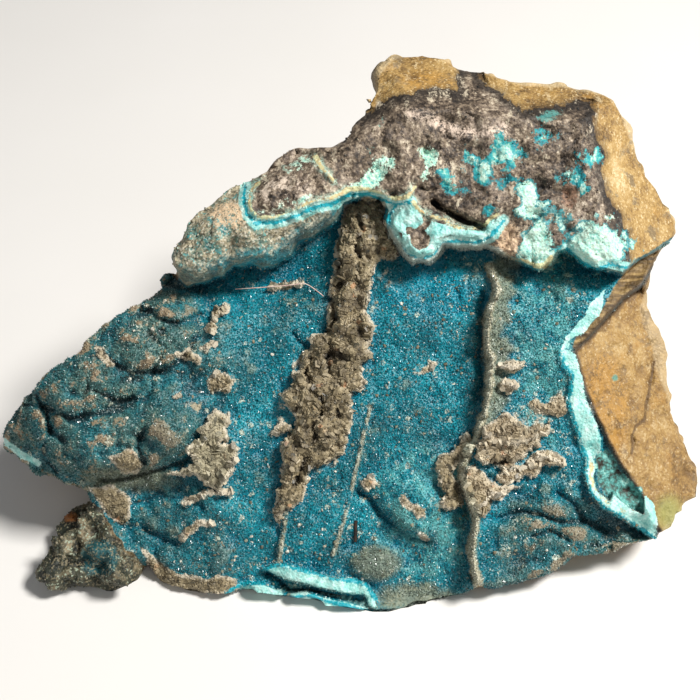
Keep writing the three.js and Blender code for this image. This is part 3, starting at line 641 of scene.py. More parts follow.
def deckHeight(s, t, zones, fine):
    # the deck and the arm that overhang the blue sheet, cut by flat breaks along their outer edge
    alongArm = smooth(4, -6, s)
    acrossArm = (t - 58.5 - (s + 10) * 0.5) / 5.5
    high = 3.6 + alongArm * (2.8 * np.exp(-acrossArm ** 2) - 0.8)
    high = high - (0.9 + 1.7 * alongArm) * smooth(1.8, 0, zones["shelf"])
    high += 0.7 * rough(s, t, 4, 7, 91, 2) + 0.55 * rough(s, t, 4, 2.3, 93, 4) + 0.24 * (fine - 0.5)
    high -= 0.55 * np.exp(-(rough(s, t, 6, 7, 94, 3) / 0.08) ** 2)  # cracks that wander over the deck
    high += alongArm * (0.7 * (clumps(s, t, 2.8, 97) - 0.5) + 0.3 * (clumps(s, t, 1.3, 98) - 0.5))
    high += 0.4 * smooth(-0.3, 0.3, np.maximum(zones["pale"], 0.35 - zones["cream"]))
    high += 0.25 * smooth(-0.3, 0.5, zones["growth"]) + 0.5 * smooth(-0.3, 0.5, zones["deck"])
    grainy = 0.42 * rough(s, t, 9, 3.2, 99, 4) + 0.3 * (clumps(s, t, 1.5, 89) - 0.5)
    for flat in breaks:
        high = softMin(high, breakHeight(flat, s, t) + grainy, 0.2)
    return high


def faceHeight(s, t, zones):
    fine = clumps(s, t, 0.8, 73)
    low = sheetHeight(s, t, fine) + ridgeHeight(s, t, zones, fine) + crustHeight(s, t, zones)
    lowRight = breakHeight(lowBreak, s, t) + 0.45 * rough(s, t, 0, 3.5, 81, 4)
    lowRight += 0.5 * (clumps(s, t, 1.6, 83) - 0.5) + 0.3 * (fine - 0.5)
    low += (lowRight - low) * smooth(-0.45, 0.3, zones["lowBreak"])
    high = deckHeight(s, t, zones, fine)
    w = low + (high - low) * smooth(-0.3, 0.3, zones["shelf"])
    frayed = s + 0.3 * rough(s, t, 2, 1.6, 53, 2)
    for width, depth, line in furrows:
        w -= depth * np.exp(-(lineDistance(line, frayed, t) / width) ** 2)
    rim = smooth(3.2, 0, zones["edge"]) ** 2
    w -= 1.3 * rim * (1 - smooth(-0.3, 0.3, zones["lowBreak"])) * (zones["deck"] > -0.5)
    w += 0.10 * rough(s, t, 7, 0.8, 55, 2)
    return np.maximum(w, 0.12 - t / 1.2)  # the lower edge rests on the floor


rockMesh = {
    "frontCuts": 4,  # cuts on each edge of the face
    "flankCuts": 2,  # cuts on each edge of the flanks and back
    "longest": 1.0,  # millimetres, the longest edge left on the face
    "rim": 2.2,  # millimetres inside the outline where a triangle may turn any way
    "facing": 0.06,  # how far a triangle nearer the outline has to look out
    "outside": 0.6,  # millimetres outside the outline that the face still takes in
    "deepest": 6,  # millimetres behind the face's own relief
    "knob": (-28, 20),  # the knob lies left of the first and under the second
    "base": 2e-5,  # metres; what lies under this is the flat foot
    "overBase": 1e-5,  # metres; the rest of the rock stays above this
}


def meshArrays(mesh):
    points = np.empty(len(mesh.vertices) * 3)
    mesh.vertices.foreach_get("co", points)
    edges = np.empty(len(mesh.edges) * 2, int)
    mesh.edges.foreach_get("vertices", edges)
    return points.reshape(-1, 3), edges.reshape(-1, 2)


def spreadOut(values, edges, rounds):
    # averages each vertex with its neighbours
    if values.ndim == 2:
        return np.stack([spreadOut(column, edges, rounds) for column in values.T], -1)
    near = edges.ravel()
    far = edges[:, ::-1].ravel()
    count = np.bincount(near, minlength=len(values))
    for _ in range(rounds):
        around = np.bincount(near, values[far], len(values)) / count
        values = values + 0.5 * (around - values)
    return values


def denseRock(source):
    bm = bmesh.new()
    bm.from_mesh(source.data)
    bmesh.ops.remove_doubles(bm, verts=bm.verts, dist=1e-6)
    bm.normal_update()
    frontLayer = bm.verts.layers.float.new("front")
    outward = Vector((0, -math.sin(face["lean"]), math.cos(face["lean"])))
    middles = np.array([tuple(f.calc_center_median()) for f in bm.faces])
    s, t, w = facePlaces(middles)
    zones = faceZones(s, t)
    behind = faceHeight(s, t, zones) - w
    front = []
    for f, inside, depth in zip(bm.faces, zones["edge"], behind):
        looksOut = inside > rockMesh["rim"] or f.normal.dot(outward) > rockMesh["facing"]
        front.append(inside > -rockMesh["outside"] and looksOut and depth < rockMesh["deepest"])
    for vert in bm.verts:
        vert[frontLayer] = 1.0
    for f, isFront in zip(bm.faces, front):
        if not isFront:
            for vert in f.verts:
                vert[frontLayer] = 0.0
    knobRight, knobTop = rockMesh["knob"]
    knob = (zones["edge"] < -0.2) & (t < knobTop) & (s < knobRight)
    fine = {e for f, a, b in zip(bm.faces, front, knob) if a or b for e in f.edges}
    coarse = [e for e in bm.edges if e not in fine]
    bmesh.ops.subdivide_edges(bm, edges=list(fine), cuts=rockMesh["frontCuts"], use_grid_fill=True)
    coarse = [e for e in coarse if e.is_valid]
    bmesh.ops.subdivide_edges(bm, edges=coarse, cuts=rockMesh["flankCuts"], use_grid_fill=True)
    bmesh.ops.triangulate(bm, faces=bm.faces)
    return bm


def placeFront(bm):
    layer = bm.verts.layers.float["front"]
    points = np.array([vert.co[:] for vert in bm.verts])
    weight = smooth(0.02, 0.85, np.array([vert[layer] for vert in bm.verts]))
    s, t, w = facePlaces(points)
    fronts = weight > 0
    zones = faceZones(s[fronts], t[fronts])
    height = faceHeight(s[fronts], t[fronts], zones)
    w[fronts] += (height - w[fronts]) * weight[fronts]
    for vert, place in zip(bm.verts, rowPoints(s, t, w)):
        vert.co = place


def refinedRock():
    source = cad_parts["chrysocolla_rock"]
    bm = denseRock(source)
    print("rock cut up:", len(bm.faces), "triangles")
    placeFront(bm)
    layer = bm.verts.layers.float["front"]
    for _ in range(2):
        long = [e for e in bm.edges if e.calc_length() > rockMesh["longest"] / 1000
                and min(v[layer] for v in e.verts) > 0.7]
        bmesh.ops.subdivide_edges(bm, edges=long, cuts=1)
        bmesh.ops.triangulate(bm, faces=[f for f in bm.faces if len(f.verts) > 3])
        placeFront(bm)
    mesh = bpy.data.meshes.new("rock")
    bm.to_mesh(mesh)
    bm.free()
    print("rock refined:", len(mesh.polygons), "triangles")
    return mesh


def finishFlanks(mesh):
    # smooths the flat facets of the hidden breaks, then gives them their own grit
    points, edges = meshArrays(mesh)
    front = np.empty(len(mesh.vertices), np.float32)
    mesh.attributes["front"].data.foreach_get("value", front)
    free = 1 - smooth(0.3, 0.95, front)
    base = points[:, 2] < rockMesh["base"]
    smoothed = spreadOut(points, edges, 6)
    points = points + (smoothed - points) * (free * ~base)[:, None]
    mesh.vertices.foreach_set("co", points.ravel())
    mesh.update()
    normals = np.empty(len(points) * 3)
    mesh.vertices.foreach_get("normal", normals)
    x, y, z = points.T * 1000
    s, t, w = facePlaces(points)
    knob = smooth(-0.1, -1.5, depthInside(silhouette, s, t)) * smooth(-27, -30, s) * smooth(22, 18, t)
    steps = stepped(1.6 * rough(x, y, z, 9, 107, 2), 0.35, 0.65)
    grit = 0.6 * rough(x, y, z, 5, 101, 4) + 0.7 * np.abs(rough(x, y, z, 9, 105, 3)) + 0.45 * steps
    knobGrit = 1.2 * rough(x, y, z, 3.6, 111, 4) - 2.4 * np.abs(rough(x, y, z, 4.2, 115, 3)) - 0.2
    off = (grit + knob * knobGrit) * free * smooth(0.05, 3, z) / 1000
    points = points + normals.reshape(-1, 3) * off[:, None]
    points[:, 2] = np.where(base, 0, np.maximum(points[:, 2], rockMesh["overBase"]))
    mesh.vertices.foreach_set("co", points.ravel())
    mesh.update()
    return knob


def putAttribute(mesh, name, values):
    layer = mesh.attributes.get(name) or mesh.attributes.new(name, "FLOAT", "POINT")
    layer.data.foreach_set("value", np.asarray(values, np.float32))


# Small patches of their own colour, and one of painted light under the deck: the middle, half width and
# half height
patches = {
    "peach": (-17.2, 57.2, 3.2, 2.2), "greenCorner": (45.6, 14.6, 2.4, 3), "orange": (-40, 14, 1.3, 1),
    "pinkish": (-9.2, 60.5, 4.2, 2.6), "ginger": (22.4, 53.6, 2.2, 3), "knobTeal": (-35.8, 8.2, 3, 3),
    "underDeck": (11, 46.5, 8, 5), "loopRim": (13.5, 53, 9.5, 7), "tanCrust": (-20, 24, 6, 8),
    "bloom": (11, 15, 9, 11), "bloomRight": (28, 36, 6, 16), "paleCrust": (25, 25, 10, 11),
    "rusty": (31.4, 60, 1.3, 1.9), "speck": (37.9, 33.9, 0.6, 0.6), "golden": (36.2, 29.5, 4.6, 9.5),
    "goldenTop": (11.2, 76.2, 5, 2.4), "gap": (9.8, 53.4, 0.9, 1.3), "mound": (3.9, 7.5, 3.2, 2.2),
    "leftDust": (-32, 19.6, 5.5, 1.6), "footDust": (9, 2.6, 5, 1.6),
}


druseCuts = (-17, 8)  # where across the face the druse is parted into three pieces
floorGap = 0.0009  # metres; grains keep this far above the floor
farthest = 6  # no distance is stored beyond this


def markZones(mesh, knob):
    # stores what the colours and the grains read at each vertex
    points, edges = meshArrays(mesh)
    s, t, w = facePlaces(points)
    zones = faceZones(s, t)
    for name, distance in zones.items():
        putAttribute(mesh, name, np.clip(distance, -farthest, farthest))
    for name, (across, up, wide, tall) in patches.items():
        reach = np.hypot((s - across) / wide, (t - up) / tall)
        putAttribute(mesh, name, min(wide, tall) * (1 - reach))
    putAttribute(mesh, "arm", depthInside(armDruse, s, t))
    putAttribute(mesh, "granular", 0.8 - lineDistance(granularBand, s, t))
    behind = faceHeight(s, t, zones) - w
    offKnob = smooth(0.9, 0.1, knob)
    putAttribute(mesh, "front", smooth(4.5, 1.2, behind + 1.2 * waves(s, t, w, 3, 123)) * offKnob)
    putAttribute(mesh, "knob", knob)
    hollow = spreadOut(w, edges, 40) - w  # more than nothing in hollows
    putAttribute(mesh, "hollow", np.clip(hollow, -1, 1))
    dirtier = smooth(-14, -30, s + 5 * waves(s, t, 1, 7, 121)) * (1 - 0.7 * smooth(19, 15, t))
    putAttribute(mesh, "leftSide", dirtier + 0.8 * smooth(20, 25, s) * smooth(18, 14, t))

    offFloor = points[:, 2] > floorGap
    clear = smooth(2.5, 1, behind) * offFloor * offKnob
    druse = smooth(-0.1, 0.2, -zones["shelf"]) * smooth(-0.1, 0.2, -zones["lowBreak"]) * clear
    druse *= smooth(0.1, -0.15, zones["crust"]) * smooth(0.1, -0.2, zones["pale"])
    druse *= (zones["pocket"] < 0) * (zones["notch"] < 0)
    onCrust = (zones["crust"] > 0) * (zones["shelf"] < 0)
    onDeck = (zones["shelf"] > 0.3) * (zones["deck"] > 0) * (zones["pale"] < 0)
    gritty = (onCrust + 0.06 * onDeck) * clear + 0.3 * knob * offFloor
    dusty = smooth(0, 1, rough(s, t, 3, 6, 131, 3)) + smooth(0.5, -0.4, rough(s, t, 8, 9, 135, 2) + 0.6)
    leftCut, rightCut = druseCuts
    masks = {
        "druse": druse,
        "druseLeft": druse * (s < leftCut),
        "druseMiddle": druse * ((s >= leftCut) & (s < rightCut)),
        "druseRight": druse * (s >= rightCut),
        "crustGritLeft": gritty * (s < 0),
        "crustGritRight": gritty * (s >= 0),
        "crustFlakes": onCrust * clear * (zones["plate"] > 0.4),
        "crumbs": druse * (0.15 + dusty),
    }
    for name, mask in masks.items():
        putAttribute(mesh, name, mask)


def linear(colour):
    # an everyday colour, 0 to 255, as the shader's linear one
    if isinstance(colour, Wire):
        return colour
    parts = [c / 255 for c in colour]
    return tuple(c / 12.92 if c <= 0.04045 else ((c + 0.055) / 1.055) ** 2.4 for c in parts) + (1,)


class Wire:
    # an output of a node, so that shader maths reads as sums
    def __init__(self, maker, socket):
        self.maker = maker
        self.socket = socket

    def maths(self, operation, first, second):
        return self.maker.add("ShaderNodeMath", {"operation": operation}, {0: first, 1: second})

    def __add__(self, other):
        return self.maths("ADD", self, other)

    def __radd__(self, other):
        return self.maths("ADD", other, self)

    def __sub__(self, other):
        return self.maths("SUBTRACT", self, other)

    def __rsub__(self, other):
        return self.maths("SUBTRACT", other, self)

    def __mul__(self, other):
        return self.maths("MULTIPLY", self, other)

    def __rmul__(self, other):
        return self.maths("MULTIPLY", other, self)

    def atLeast(self, other):
        return self.maths("MAXIMUM", self, other)

    def beside(self, output):
        # another output of the same node
        return Wire(self.maker, self.socket.node.outputs[output])


class NodeMaker:
    def __init__(self, tree):
        self.tree = tree

    def add(self, kind, settings=None, sockets=None, output=0):
        made = self.tree.nodes.new(kind)
        for key, value in (settings or {}).items():
            if key == "stops":
                self.setStops(made.color_ramp, value)
            else:
                setattr(made, key, value)
        for key, value in (sockets or {}).items():
            if isinstance(value, Wire):
                self.tree.links.new(value.socket, made.inputs[key])
            else:
                made.inputs[key].default_value = value
        return Wire(self, made.outputs[output] if made.outputs else None)

    def setStops(self, colourRamp, stops):
        while len(colourRamp.elements) < len(stops):
            colourRamp.elements.new(1)
        for element, (place, *colour) in zip(colourRamp.elements, stops):
            element.position = place
            element.color = linear(colour)


def span(value, low, high):
    # rises smoothly from 0 at low to 1 at high
    sockets = {"Value": value, "From Min": low, "From Max": high}
    return value.maker.add("ShaderNodeMapRange", {"interpolation_type": "SMOOTHSTEP"}, sockets)


def ramp(value, stops):
    return value.maker.add("ShaderNodeValToRGB", {"stops": stops}, {"Fac": value})


def blend(first, second, share):
    maker = next(part.maker for part in (share, first, second) if isinstance(part, Wire))
    sockets = {0: share, 6: linear(first), 7: linear(second)}
    return maker.add("ShaderNodeMix", {"data_type": "RGBA"}, sockets, 2)


def layered(colour, *layers):
    # lays colours over the first, each with its share
    for over, share in layers:
        colour = blend(colour, over, share)
    return colour


class Recipe(NodeMaker):
    # builds one material's nodes
    def __init__(self, name):
        self.material = bpy.data.materials.new(name)
        self.material.use_nodes = True
        super().__init__(self.material.node_tree)
        self.tree.nodes.clear()
        self.place = self.add("ShaderNodeTexCoord", output="Object")

    def stretched(self, rotation, scale):
        sockets = {"Vector": self.place, "Rotation": rotation, "Scale": scale}
        return self.add("ShaderNodeMapping", {}, sockets)

    def zone(self, name):
        return self.add("ShaderNodeAttribute", {"attribute_name": name}, output="Fac")

    def noise(self, size, detail=3.0, roughness=0.55, seed=0.0, place=None):
        sockets = {"Scale": 1000 / size, "Detail": detail, "Roughness": roughness, "W": seed}
        sockets["Vector"] = place or self.place
        return self.add("ShaderNodeTexNoise", {"noise_dimensions": "4D"}, sockets)

    def cells(self, size, output="Color"):
        return self.add("ShaderNodeTexVoronoi", {}, {"Vector": self.place, "Scale": 1000 / size}, output)

    def finish(self, colour, roughness, bump, bumpDepth, **fixed):
        normal = self.add("ShaderNodeBump", {}, {"Height": bump, "Strength": 1.0, "Distance": bumpDepth})
        sockets = {"Base Color": colour, "Roughness": roughness, "Normal": normal, **fixed}
        shader = self.add("ShaderNodeBsdfPrincipled", {}, sockets)
        self.add("ShaderNodeOutputMaterial", {}, {"Surface": shader})
        return self.material


bumpDepths = {"rock": 0.00022, "grains": 0.00004, "crumbs": 0.00015, "even": 0.00001}  # metres
# Places along a noise, each with its everyday colour
rockLook = {
    "druse": [(0.24, 4, 58, 66), (0.43, 6, 124, 140), (0.64, 26, 168, 182), (0.86, 118, 172, 166)],
    "dusty": [(0.22, 62, 78, 70), (0.42, 96, 118, 106), (0.6, 136, 146, 124), (0.84, 186, 182, 154)],
    "greyed": [(0.22, 36, 58, 56), (0.4, 62, 106, 104), (0.56, 98, 130, 120), (0.8, 166, 172, 150)],
    "crust": [(0.2, 62, 52, 36), (0.36, 112, 100, 74), (0.52, 152, 138, 108), (0.68, 186, 172, 142),
              (0.86, 222, 208, 180)],
    "chalky": [(0.24, 98, 84, 62), (0.4, 150, 134, 106), (0.56, 192, 178, 150), (0.8, 232, 222, 202)],
    "pith": [(0.46, 108, 108, 86), (0.66, 164, 160, 134), (0.86, 220, 216, 196)],
    "deck": [(0.26, 26, 21, 17), (0.38, 66, 55, 45), (0.48, 104, 90, 75), (0.59, 148, 132, 112),
             (0.74, 216, 202, 180)],
    "arm": [(0.26, 44, 92, 94), (0.38, 66, 138, 140), (0.46, 104, 126, 110), (0.54, 146, 138, 114),
            (0.64, 190, 178, 148), (0.78, 222, 214, 188)],
    "ochre": [(0.3, 92, 70, 38), (0.42, 140, 110, 62), (0.54, 170, 138, 82), (0.66, 190, 162, 110),
              (0.8, 216, 196, 154)],
    "wall": [(0.34, 60, 45, 26), (0.5, 118, 94, 56), (0.66, 176, 148, 98)],
    "speckled": [(0.34, 52, 164, 164), (0.46, 152, 208, 188), (0.62, 216, 232, 212)],
    "film": [(0.3, 50, 132, 130), (0.7, 108, 160, 148)],
    "turquoise": [(0.4, 30, 112, 114), (0.52, 18, 136, 150), (0.64, 50, 164, 160), (0.76, 184, 216, 198)],
    "lacy": [(0.6, 62, 156, 156), (0.73, 136, 202, 188), (0.9, 196, 228, 212)],
    "rusty": [(0.36, 58, 42, 32), (0.6, 150, 116, 92)],
    "ginger": [(0.4, 150, 122, 98), (0.6, 222, 192, 156)],
    "pocket": [(0.47, 52, 42, 34), (0.54, 74, 112, 104), (0.62, 96, 174, 168), (0.74, 180, 216, 200)],
    "band": [(0.5, 70, 162, 162), (0.62, 130, 200, 192), (0.72, 166, 218, 210), (0.86, 208, 236, 228)],
    "chipped": [(0.34, 96, 106, 98), (0.56, 204, 208, 194)],
    "cream": [(0.38, 204, 204, 156), (0.6, 210, 178, 120)],
    "matrix": [(0.28, 92, 74, 50), (0.42, 134, 108, 68), (0.54, 166, 136, 88), (0.7, 196, 168, 120)],
    # the knob's own dark brown and teal, darkened further with painted shade as it sits under the
    # overhang
    "knob": [(0.28, 14, 17, 13), (0.42, 34, 40, 30), (0.54, 62, 63, 47), (0.72, 150, 136, 108)],
    "crumbs": [(0.1, 96, 92, 74), (0.35, 140, 128, 104), (0.6, 110, 134, 122), (0.8, 176, 166, 142),
               (0.95, 222, 218, 204)],
}


class RockRecipe(Recipe):
    # the noises and zones that the rock's colours share
    def __init__(self, name):
        super().__init__(name)
        self.fine = self.noise(0.42, 3, 0.75)
        self.mid = self.noise(1.7, 3, 0.6, 2)
        self.broad = self.noise(7, 2, 0.5, 5)
        self.fleck = self.cells(0.26)
        self.chip = self.cells(0.7)
        self.streaks = self.noise(1.5, 4, 0.65, 21, self.stretched((0.3, 0.2, 0.7), (1, 0.3, 0.6)))
        self.grainy = self.noise(0.62, 3, 0.8, 23)
        self.jitter = (self.fine - 0.5) * 0.6 + (self.mid - 0.5) * 0.5
        self.hollow = self.zone("hollow")
        self.mottle = self.broad * 0.7 + self.mid * 0.7 + self.fine * 0.3 - 0.33
        self.stain = self.mid * 0.6 + self.broad * 0.6 + self.fine * 0.7 - 0.45
        self.film = ramp(self.mid, rockLook["film"])
        self.onShelf = self.within("shelf", 0.5, 0.2, 0.4)

    def within(self, zone, fray, low, high):
        # 0 to 1 between two distances in a zone, with its edge frayed by the noises
        return span(self.zone(zone) + self.jitter * fray, low, high)


def blueSheet(rock):
    # blue druse, greyer and dustier on the left lobes and on what stands proud, with painted shade in the
    # left lobes' hollows and painted light on the blue under the deck
    fine, mid, broad, jitter, hollow = rock.fine, rock.mid, rock.broad, rock.jitter, rock.hollow
    left = rock.zone("leftSide")
    wide = rock.noise(4.5, 3, 0.55, 41)
    shade = fine * 0.5 + mid * 0.45 + wide * 0.45 + rock.fleck * 0.2 - 0.34
    dusty = ramp(shade, rockLook["dusty"])
    greyer = span(broad + mid * 0.4 + jitter * 0.5 - hollow * 0.4, 0.55, 0.8)
    tan = span(wide * 0.8 + mid * 0.6 + fine * 0.5 - hollow * 0.3, 1.09, 1.16)
    # painted shade in the hollows of the left lobes, mottled by noise
    hollowShade = span(hollow * 0.7 + broad * 0.6 + mid * 0.4 + jitter * 0.6, 0.54, 0.78)
    bloom = span(rock.zone("bloom").atLeast(rock.zone("bloomRight")) + jitter * 5, 0, 3)
    mounds = rock.zone("mound").atLeast(rock.zone("leftDust")).atLeast(rock.zone("footDust"))
    fringed = span(rock.zone("fringe").atLeast(mounds) + jitter * 3, -0.9, 0.5)
    return layered(
        ramp(shade, rockLook["druse"]),
        ((8, 74, 84), span(broad + mid * 0.5 + jitter * 0.4, 0.66, 0.84) * 0.55),
        (dusty, span(mid * 0.7 + broad * 0.5 + jitter * 0.3 - hollow * 0.35, 0.68, 0.82) * 0.55),
        ((2, 122, 150), span(hollow, 0.05, 0.5) * span(fine, 0.3, 0.5) * 0.5),
        ((62, 92, 87), left * 0.45),
        (ramp(shade, rockLook["greyed"]), left * greyer * 0.8),
        ((164, 142, 114), left * tan * 0.85),
        # painted shade laid in the left lobes' hollows
        ((26, 32, 29), left * hollowShade * 0.7),
        ((126, 120, 98), span(rock.fleck, 0.68, 0.76) * span(wide, 0.5, 0.64) * 0.45),
        ((92, 170, 170), bloom * span(mid + fine * 0.5, 0.66, 0.84) * 0.75),
        # painted light: a brighter blue where the deck's shadow falls on the sheet
        ((14, 150, 176), rock.within("underDeck", 4, 0, 2) * 0.4),
        ((196, 202, 184), span(rock.chip * 0.5 + wide * 0.3 + fine * 0.4, 0.79, 0.83) * 0.8),
        (blend(dusty, (152, 144, 118), 0.35), fringed * 0.85))


def crustOver(rock, blue):
    # brown crust on the blue sheet, with painted shade in its hollows and painted highlights on its edges
    # and crests, then the ridge and the fins
    fine, mid, chip, jitter = rock.fine, rock.mid, rock.chip, rock.jitter
    grit = fine * 0.6 + chip * 0.3 + mid * 0.3 - 0.14
    depth = rock.zone("crust") + jitter * 0.9
    plate = rock.zone("plate")
    # painted highlight along the crust's edges and the plates' upturned edges
    crest = span(depth, 0.6, 0.15) * span(mid + fine * 0.4, 0.58, 0.72)
    crest = crest.atLeast(rock.within("plateEdge", 0.8, 0.45, 0.2))
    crust = layered(
        ramp(grit, rockLook["crust"]),
        ((180, 176, 150), span(rock.zone("tanCrust"), 0, 1) * 0.5),
        (ramp(grit, rockLook["chalky"]), rock.within("paleCrust", 2, 0, 1.5) * 0.9),
        # painted shade in the crust's hollows
        ((40, 33, 24), span(rock.hollow + jitter * 0.5, 0.1, 0.5) * 0.75),
        ((176, 108, 52), span(chip, 0.9, 0.93) * 0.5),
        # painted highlight on the crests of the thinner plates
        ((214, 204, 184), crest * span(plate, 2.6, 1.6) * 0.8),
        ((66, 56, 40), span(plate + mid, 1.9, 2.8) * span(mid, 0.56, 0.42) * 0.6))
    pith = ramp(fine + mid * 0.4, rockLook["pith"])
    return layered(
        blue, (crust, span(depth, -0.1, 0.12)),
        (pith, rock.within("ridge", 1.6, 0.8, 0.35)),
        ((214, 212, 190), rock.within("ridge", 1.2, 0.3, 0) * 0.6),
        (pith, rock.within("fins", 0.9, 0.4, 0.12) * span(mid, 0.38, 0.5) * 0.9))


def deckAndArm(rock, blue):
    # the dark deck and the mottled arm, with painted shade in the deck's hollows, along the deck's rim
    # and along the arm's lower edge
    fine, mid, broad, fleck = rock.fine, rock.mid, rock.broad, rock.fleck
    streaks, grainy = rock.streaks, rock.grainy
    tone = streaks * 0.4 + grainy * 1.1 + mid * 0.5 + broad * 0.4 - 0.72
    arm = layered(
        ramp(rock.mottle, rockLook["arm"]),
        ((58, 60, 50), span(fleck, 0.38, 0.28) * 0.6),
        ((220, 214, 196), span(fleck, 0.68, 0.76) * 0.5),
        ((56, 166, 168), span(rock.noise(1, 4, 0.75, 31), 0.56, 0.62) * 0.7),
        (blue, rock.within("shelf", 5, 3.4, 0.8) * 0.7),
        # painted shade along the arm's lower, overhanging edge
        ((40, 52, 50), rock.within("shelf", 4, 2.6, 0) * span(mid, 0.4, 0.56) * 0.55))
    return layered(
        ramp(tone, rockLook["deck"]),
        # painted shade in the deck's hollows
        ((16, 13, 11), span(rock.hollow, 0.25, 0.8) * 0.9),
        ((150, 134, 124), span(broad, 0.52, 0.68) * span(fine, 0.4, 0.6) * 0.5),
        # painted shade along the deck's rim
        ((28, 23, 19), rock.within("deck", 4, 2.2, 0.3) * 0.85),
        ((202, 190, 166), span(streaks + fine * 0.4, 0.8, 0.86) * 0.75),
        ((216, 196, 178), rock.within("granular", 4, -0.6, 0.8) * span(grainy, 0.42, 0.54) * 0.95),
        (arm, rock.within("arm", 1, -0.3, 0.3)),
        ((212, 186, 152), rock.within("peach", 4, 0, 1) * span(fine, 0.4, 0.5)),
        ((206, 190, 172), rock.within("pinkish", 4, 0.1, 1) * span(mid + fine * 0.5, 0.68, 0.8) * 0.9))


def breakOver(rock, colour):
    # ochre rock where it is freshly broken, with a painted highlight along the outline and painted shade
    # in its hollows and along the deck's edge, and the notch's bedded wall
    fine, mid, fleck, jitter, streaks = rock.fine, rock.mid, rock.fleck, rock.jitter, rock.streaks
    onLow = rock.within("lowBreak", 0.5, -0.05, 0.15)
    deckEdge = rock.zone("deck")
    golden = span(rock.zone("golden").atLeast(rock.zone("goldenTop")) + jitter * 3, 0, 2)
    golden = golden * span(mid + fine * 0.6, 0.66, 0.9)
    golden = golden.atLeast(span(rock.noise(5, 4, 0.7, 11), 0.56, 0.68) * 0.6)
    ochre = layered(
        ramp(rock.stain, rockLook["ochre"]),
        ((214, 194, 152), span(streaks + fine * 0.5, 0.84, 0.92) * 0.6),
        # painted highlight along the rock's outline
        ((222, 204, 166), rock.within("edge", 1, 0.5, 0) * 0.45),
        ((100, 92, 76), span(rock.noise(3.2, 5, 0.7, 8), 0.55, 0.63) * 0.6),
        ((184, 136, 58), golden * 0.75),
        # painted shade in the ochre's hollows
        ((84, 60, 30), span(rock.hollow + jitter * 0.3, 0.1, 0.45) * 0.75),
        # painted shade on the ochre along the deck's edge, streaked by noise
        ((52, 40, 28), span(deckEdge + (streaks - 0.5) * 3, -1.1, 0.1) * rock.onShelf * 0.6),
        ((230, 212, 172), span(fleck * 0.5 + fine * 0.6, 0.7, 0.78) * 0.5),
        ((60, 160, 150), rock.within("speck", 1, 0, 0.3) * 0.9),
        ((58, 42, 26), rock.within("crack", 0.5, 0.3, 0.12) * 0.8),
        ((132, 98, 50), onLow * 0.3))
    outOfDeck = span(deckEdge + jitter * 1.2 + (streaks - 0.5) * 2.4, 0.05, -0.1) * rock.onShelf
    bedding = rock.noise(0.8, 3, 0.6, 3, rock.stretched((0.6, -0.5, 0.9), (0.16, 1, 1)))
    darkRim = rock.within("lowBreak", 0.8, -0.75, -0.15) * span(rock.zone("lowBreak"), 0.6, 0.1)
    return layered(
        colour, (ochre, outOfDeck.atLeast(onLow)),
        ((140, 152, 84), rock.within("greenCorner", 2, -0.6, 1.6) * 0.6),
        (ramp(bedding, rockLook["wall"]), rock.within("notch", 0.6, 0, 0.3)),
        ((62, 50, 38), darkRim * 0.85 * (1 - rock.onShelf)))


def growthOver(rock, colour):
    # turquoise and pale growth in the pores, and the mottled pocket
    fine, mid, grainy = rock.fine, rock.mid, rock.grainy
    nearCream = rock.within("cream", 5, 1.3, 0.2) * span(mid, 0.42, 0.56) * span(fine, 0.44, 0.52)
    lace = (rock.noise(1.3, 5, 0.72, 51) - 0.5) * 9
    strength = rock.zone("turquoise")
    growth = rock.zone("growth") + lace * 0.7
    tanPores = span(grainy * 0.6 + rock.fleck * 0.4, 0.57, 0.65) * 0.4
    lacy = blend(ramp(fine + mid * 0.7, rockLook["lacy"]), (156, 144, 118), tanPores)
    ginger = rock.within("ginger", 6, 0, 0.9) * span(mid + fine * 0.5, 0.62, 0.74)
    return layered(
        colour,
        (ramp(fine, rockLook["speckled"]),
         rock.within("speckle", 5, 0.2, 0.6).atLeast(nearCream * rock.onShelf)),
        (rock.film, rock.within("teal", 4, 0, 0.5) * 0.85),
        (ramp(strength * 0.12 + rock.noise(0.9, 3, 0.6, 53), rockLook["turquoise"]),
         span(strength + lace, 0, 0.7)),
        ((40, 152, 160), span(growth, -0.6, -0.2) * span(mid, 0.4, 0.5) * 0.8),
        (lacy, span(growth, 0, 0.6)),
        (ramp(fine, rockLook["rusty"]), rock.within("rusty", 2, 0, 0.4) * 0.85),
        (ramp(grainy, rockLook["ginger"]), ginger * 0.85),
        (ramp(mid * 0.7 + fine * 0.4, rockLook["pocket"]), rock.within("pocket", 1.2, 0, 0.3)))


def veinsOver(rock, colour):
    # pale bands, cyan lines, the deck's chipped lower rim and cream lines
    fine, mid = rock.fine, rock.mid
    besideLine = rock.within("cyan", 1.2, 1, 0.7) * rock.onShelf
    onPale = rock.within("pale", 1.2, 0, 0.14).atLeast(besideLine * 0.85)
    onPale = onPale * rock.within("gap", 1.5, 0.3, 0)
    rim = rock.within("shelf", 1.4, 0.7, 0.3) * rock.within("shelf", 1, -0.5, -0.1)
    rim = rim * span(rock.zone("arm"), 0.5, -0.5) * rock.within("loopRim", 2, 0, 1)
    colour = layered(
        colour, (ramp(mid * 0.6 + fine * 0.5 + rock.streaks * 0.3, rockLook["band"]), onPale),
        ((16, 158, 172), rock.within("cyan", 1.6, 0.36, 0.16)),
        (ramp(fine, rockLook["chipped"]), rim * 0.9),
        (ramp(mid, rockLook["cream"]), rock.within("cream", 1.4, 0.3, 0.1) * 0.9))
    return colour, onPale


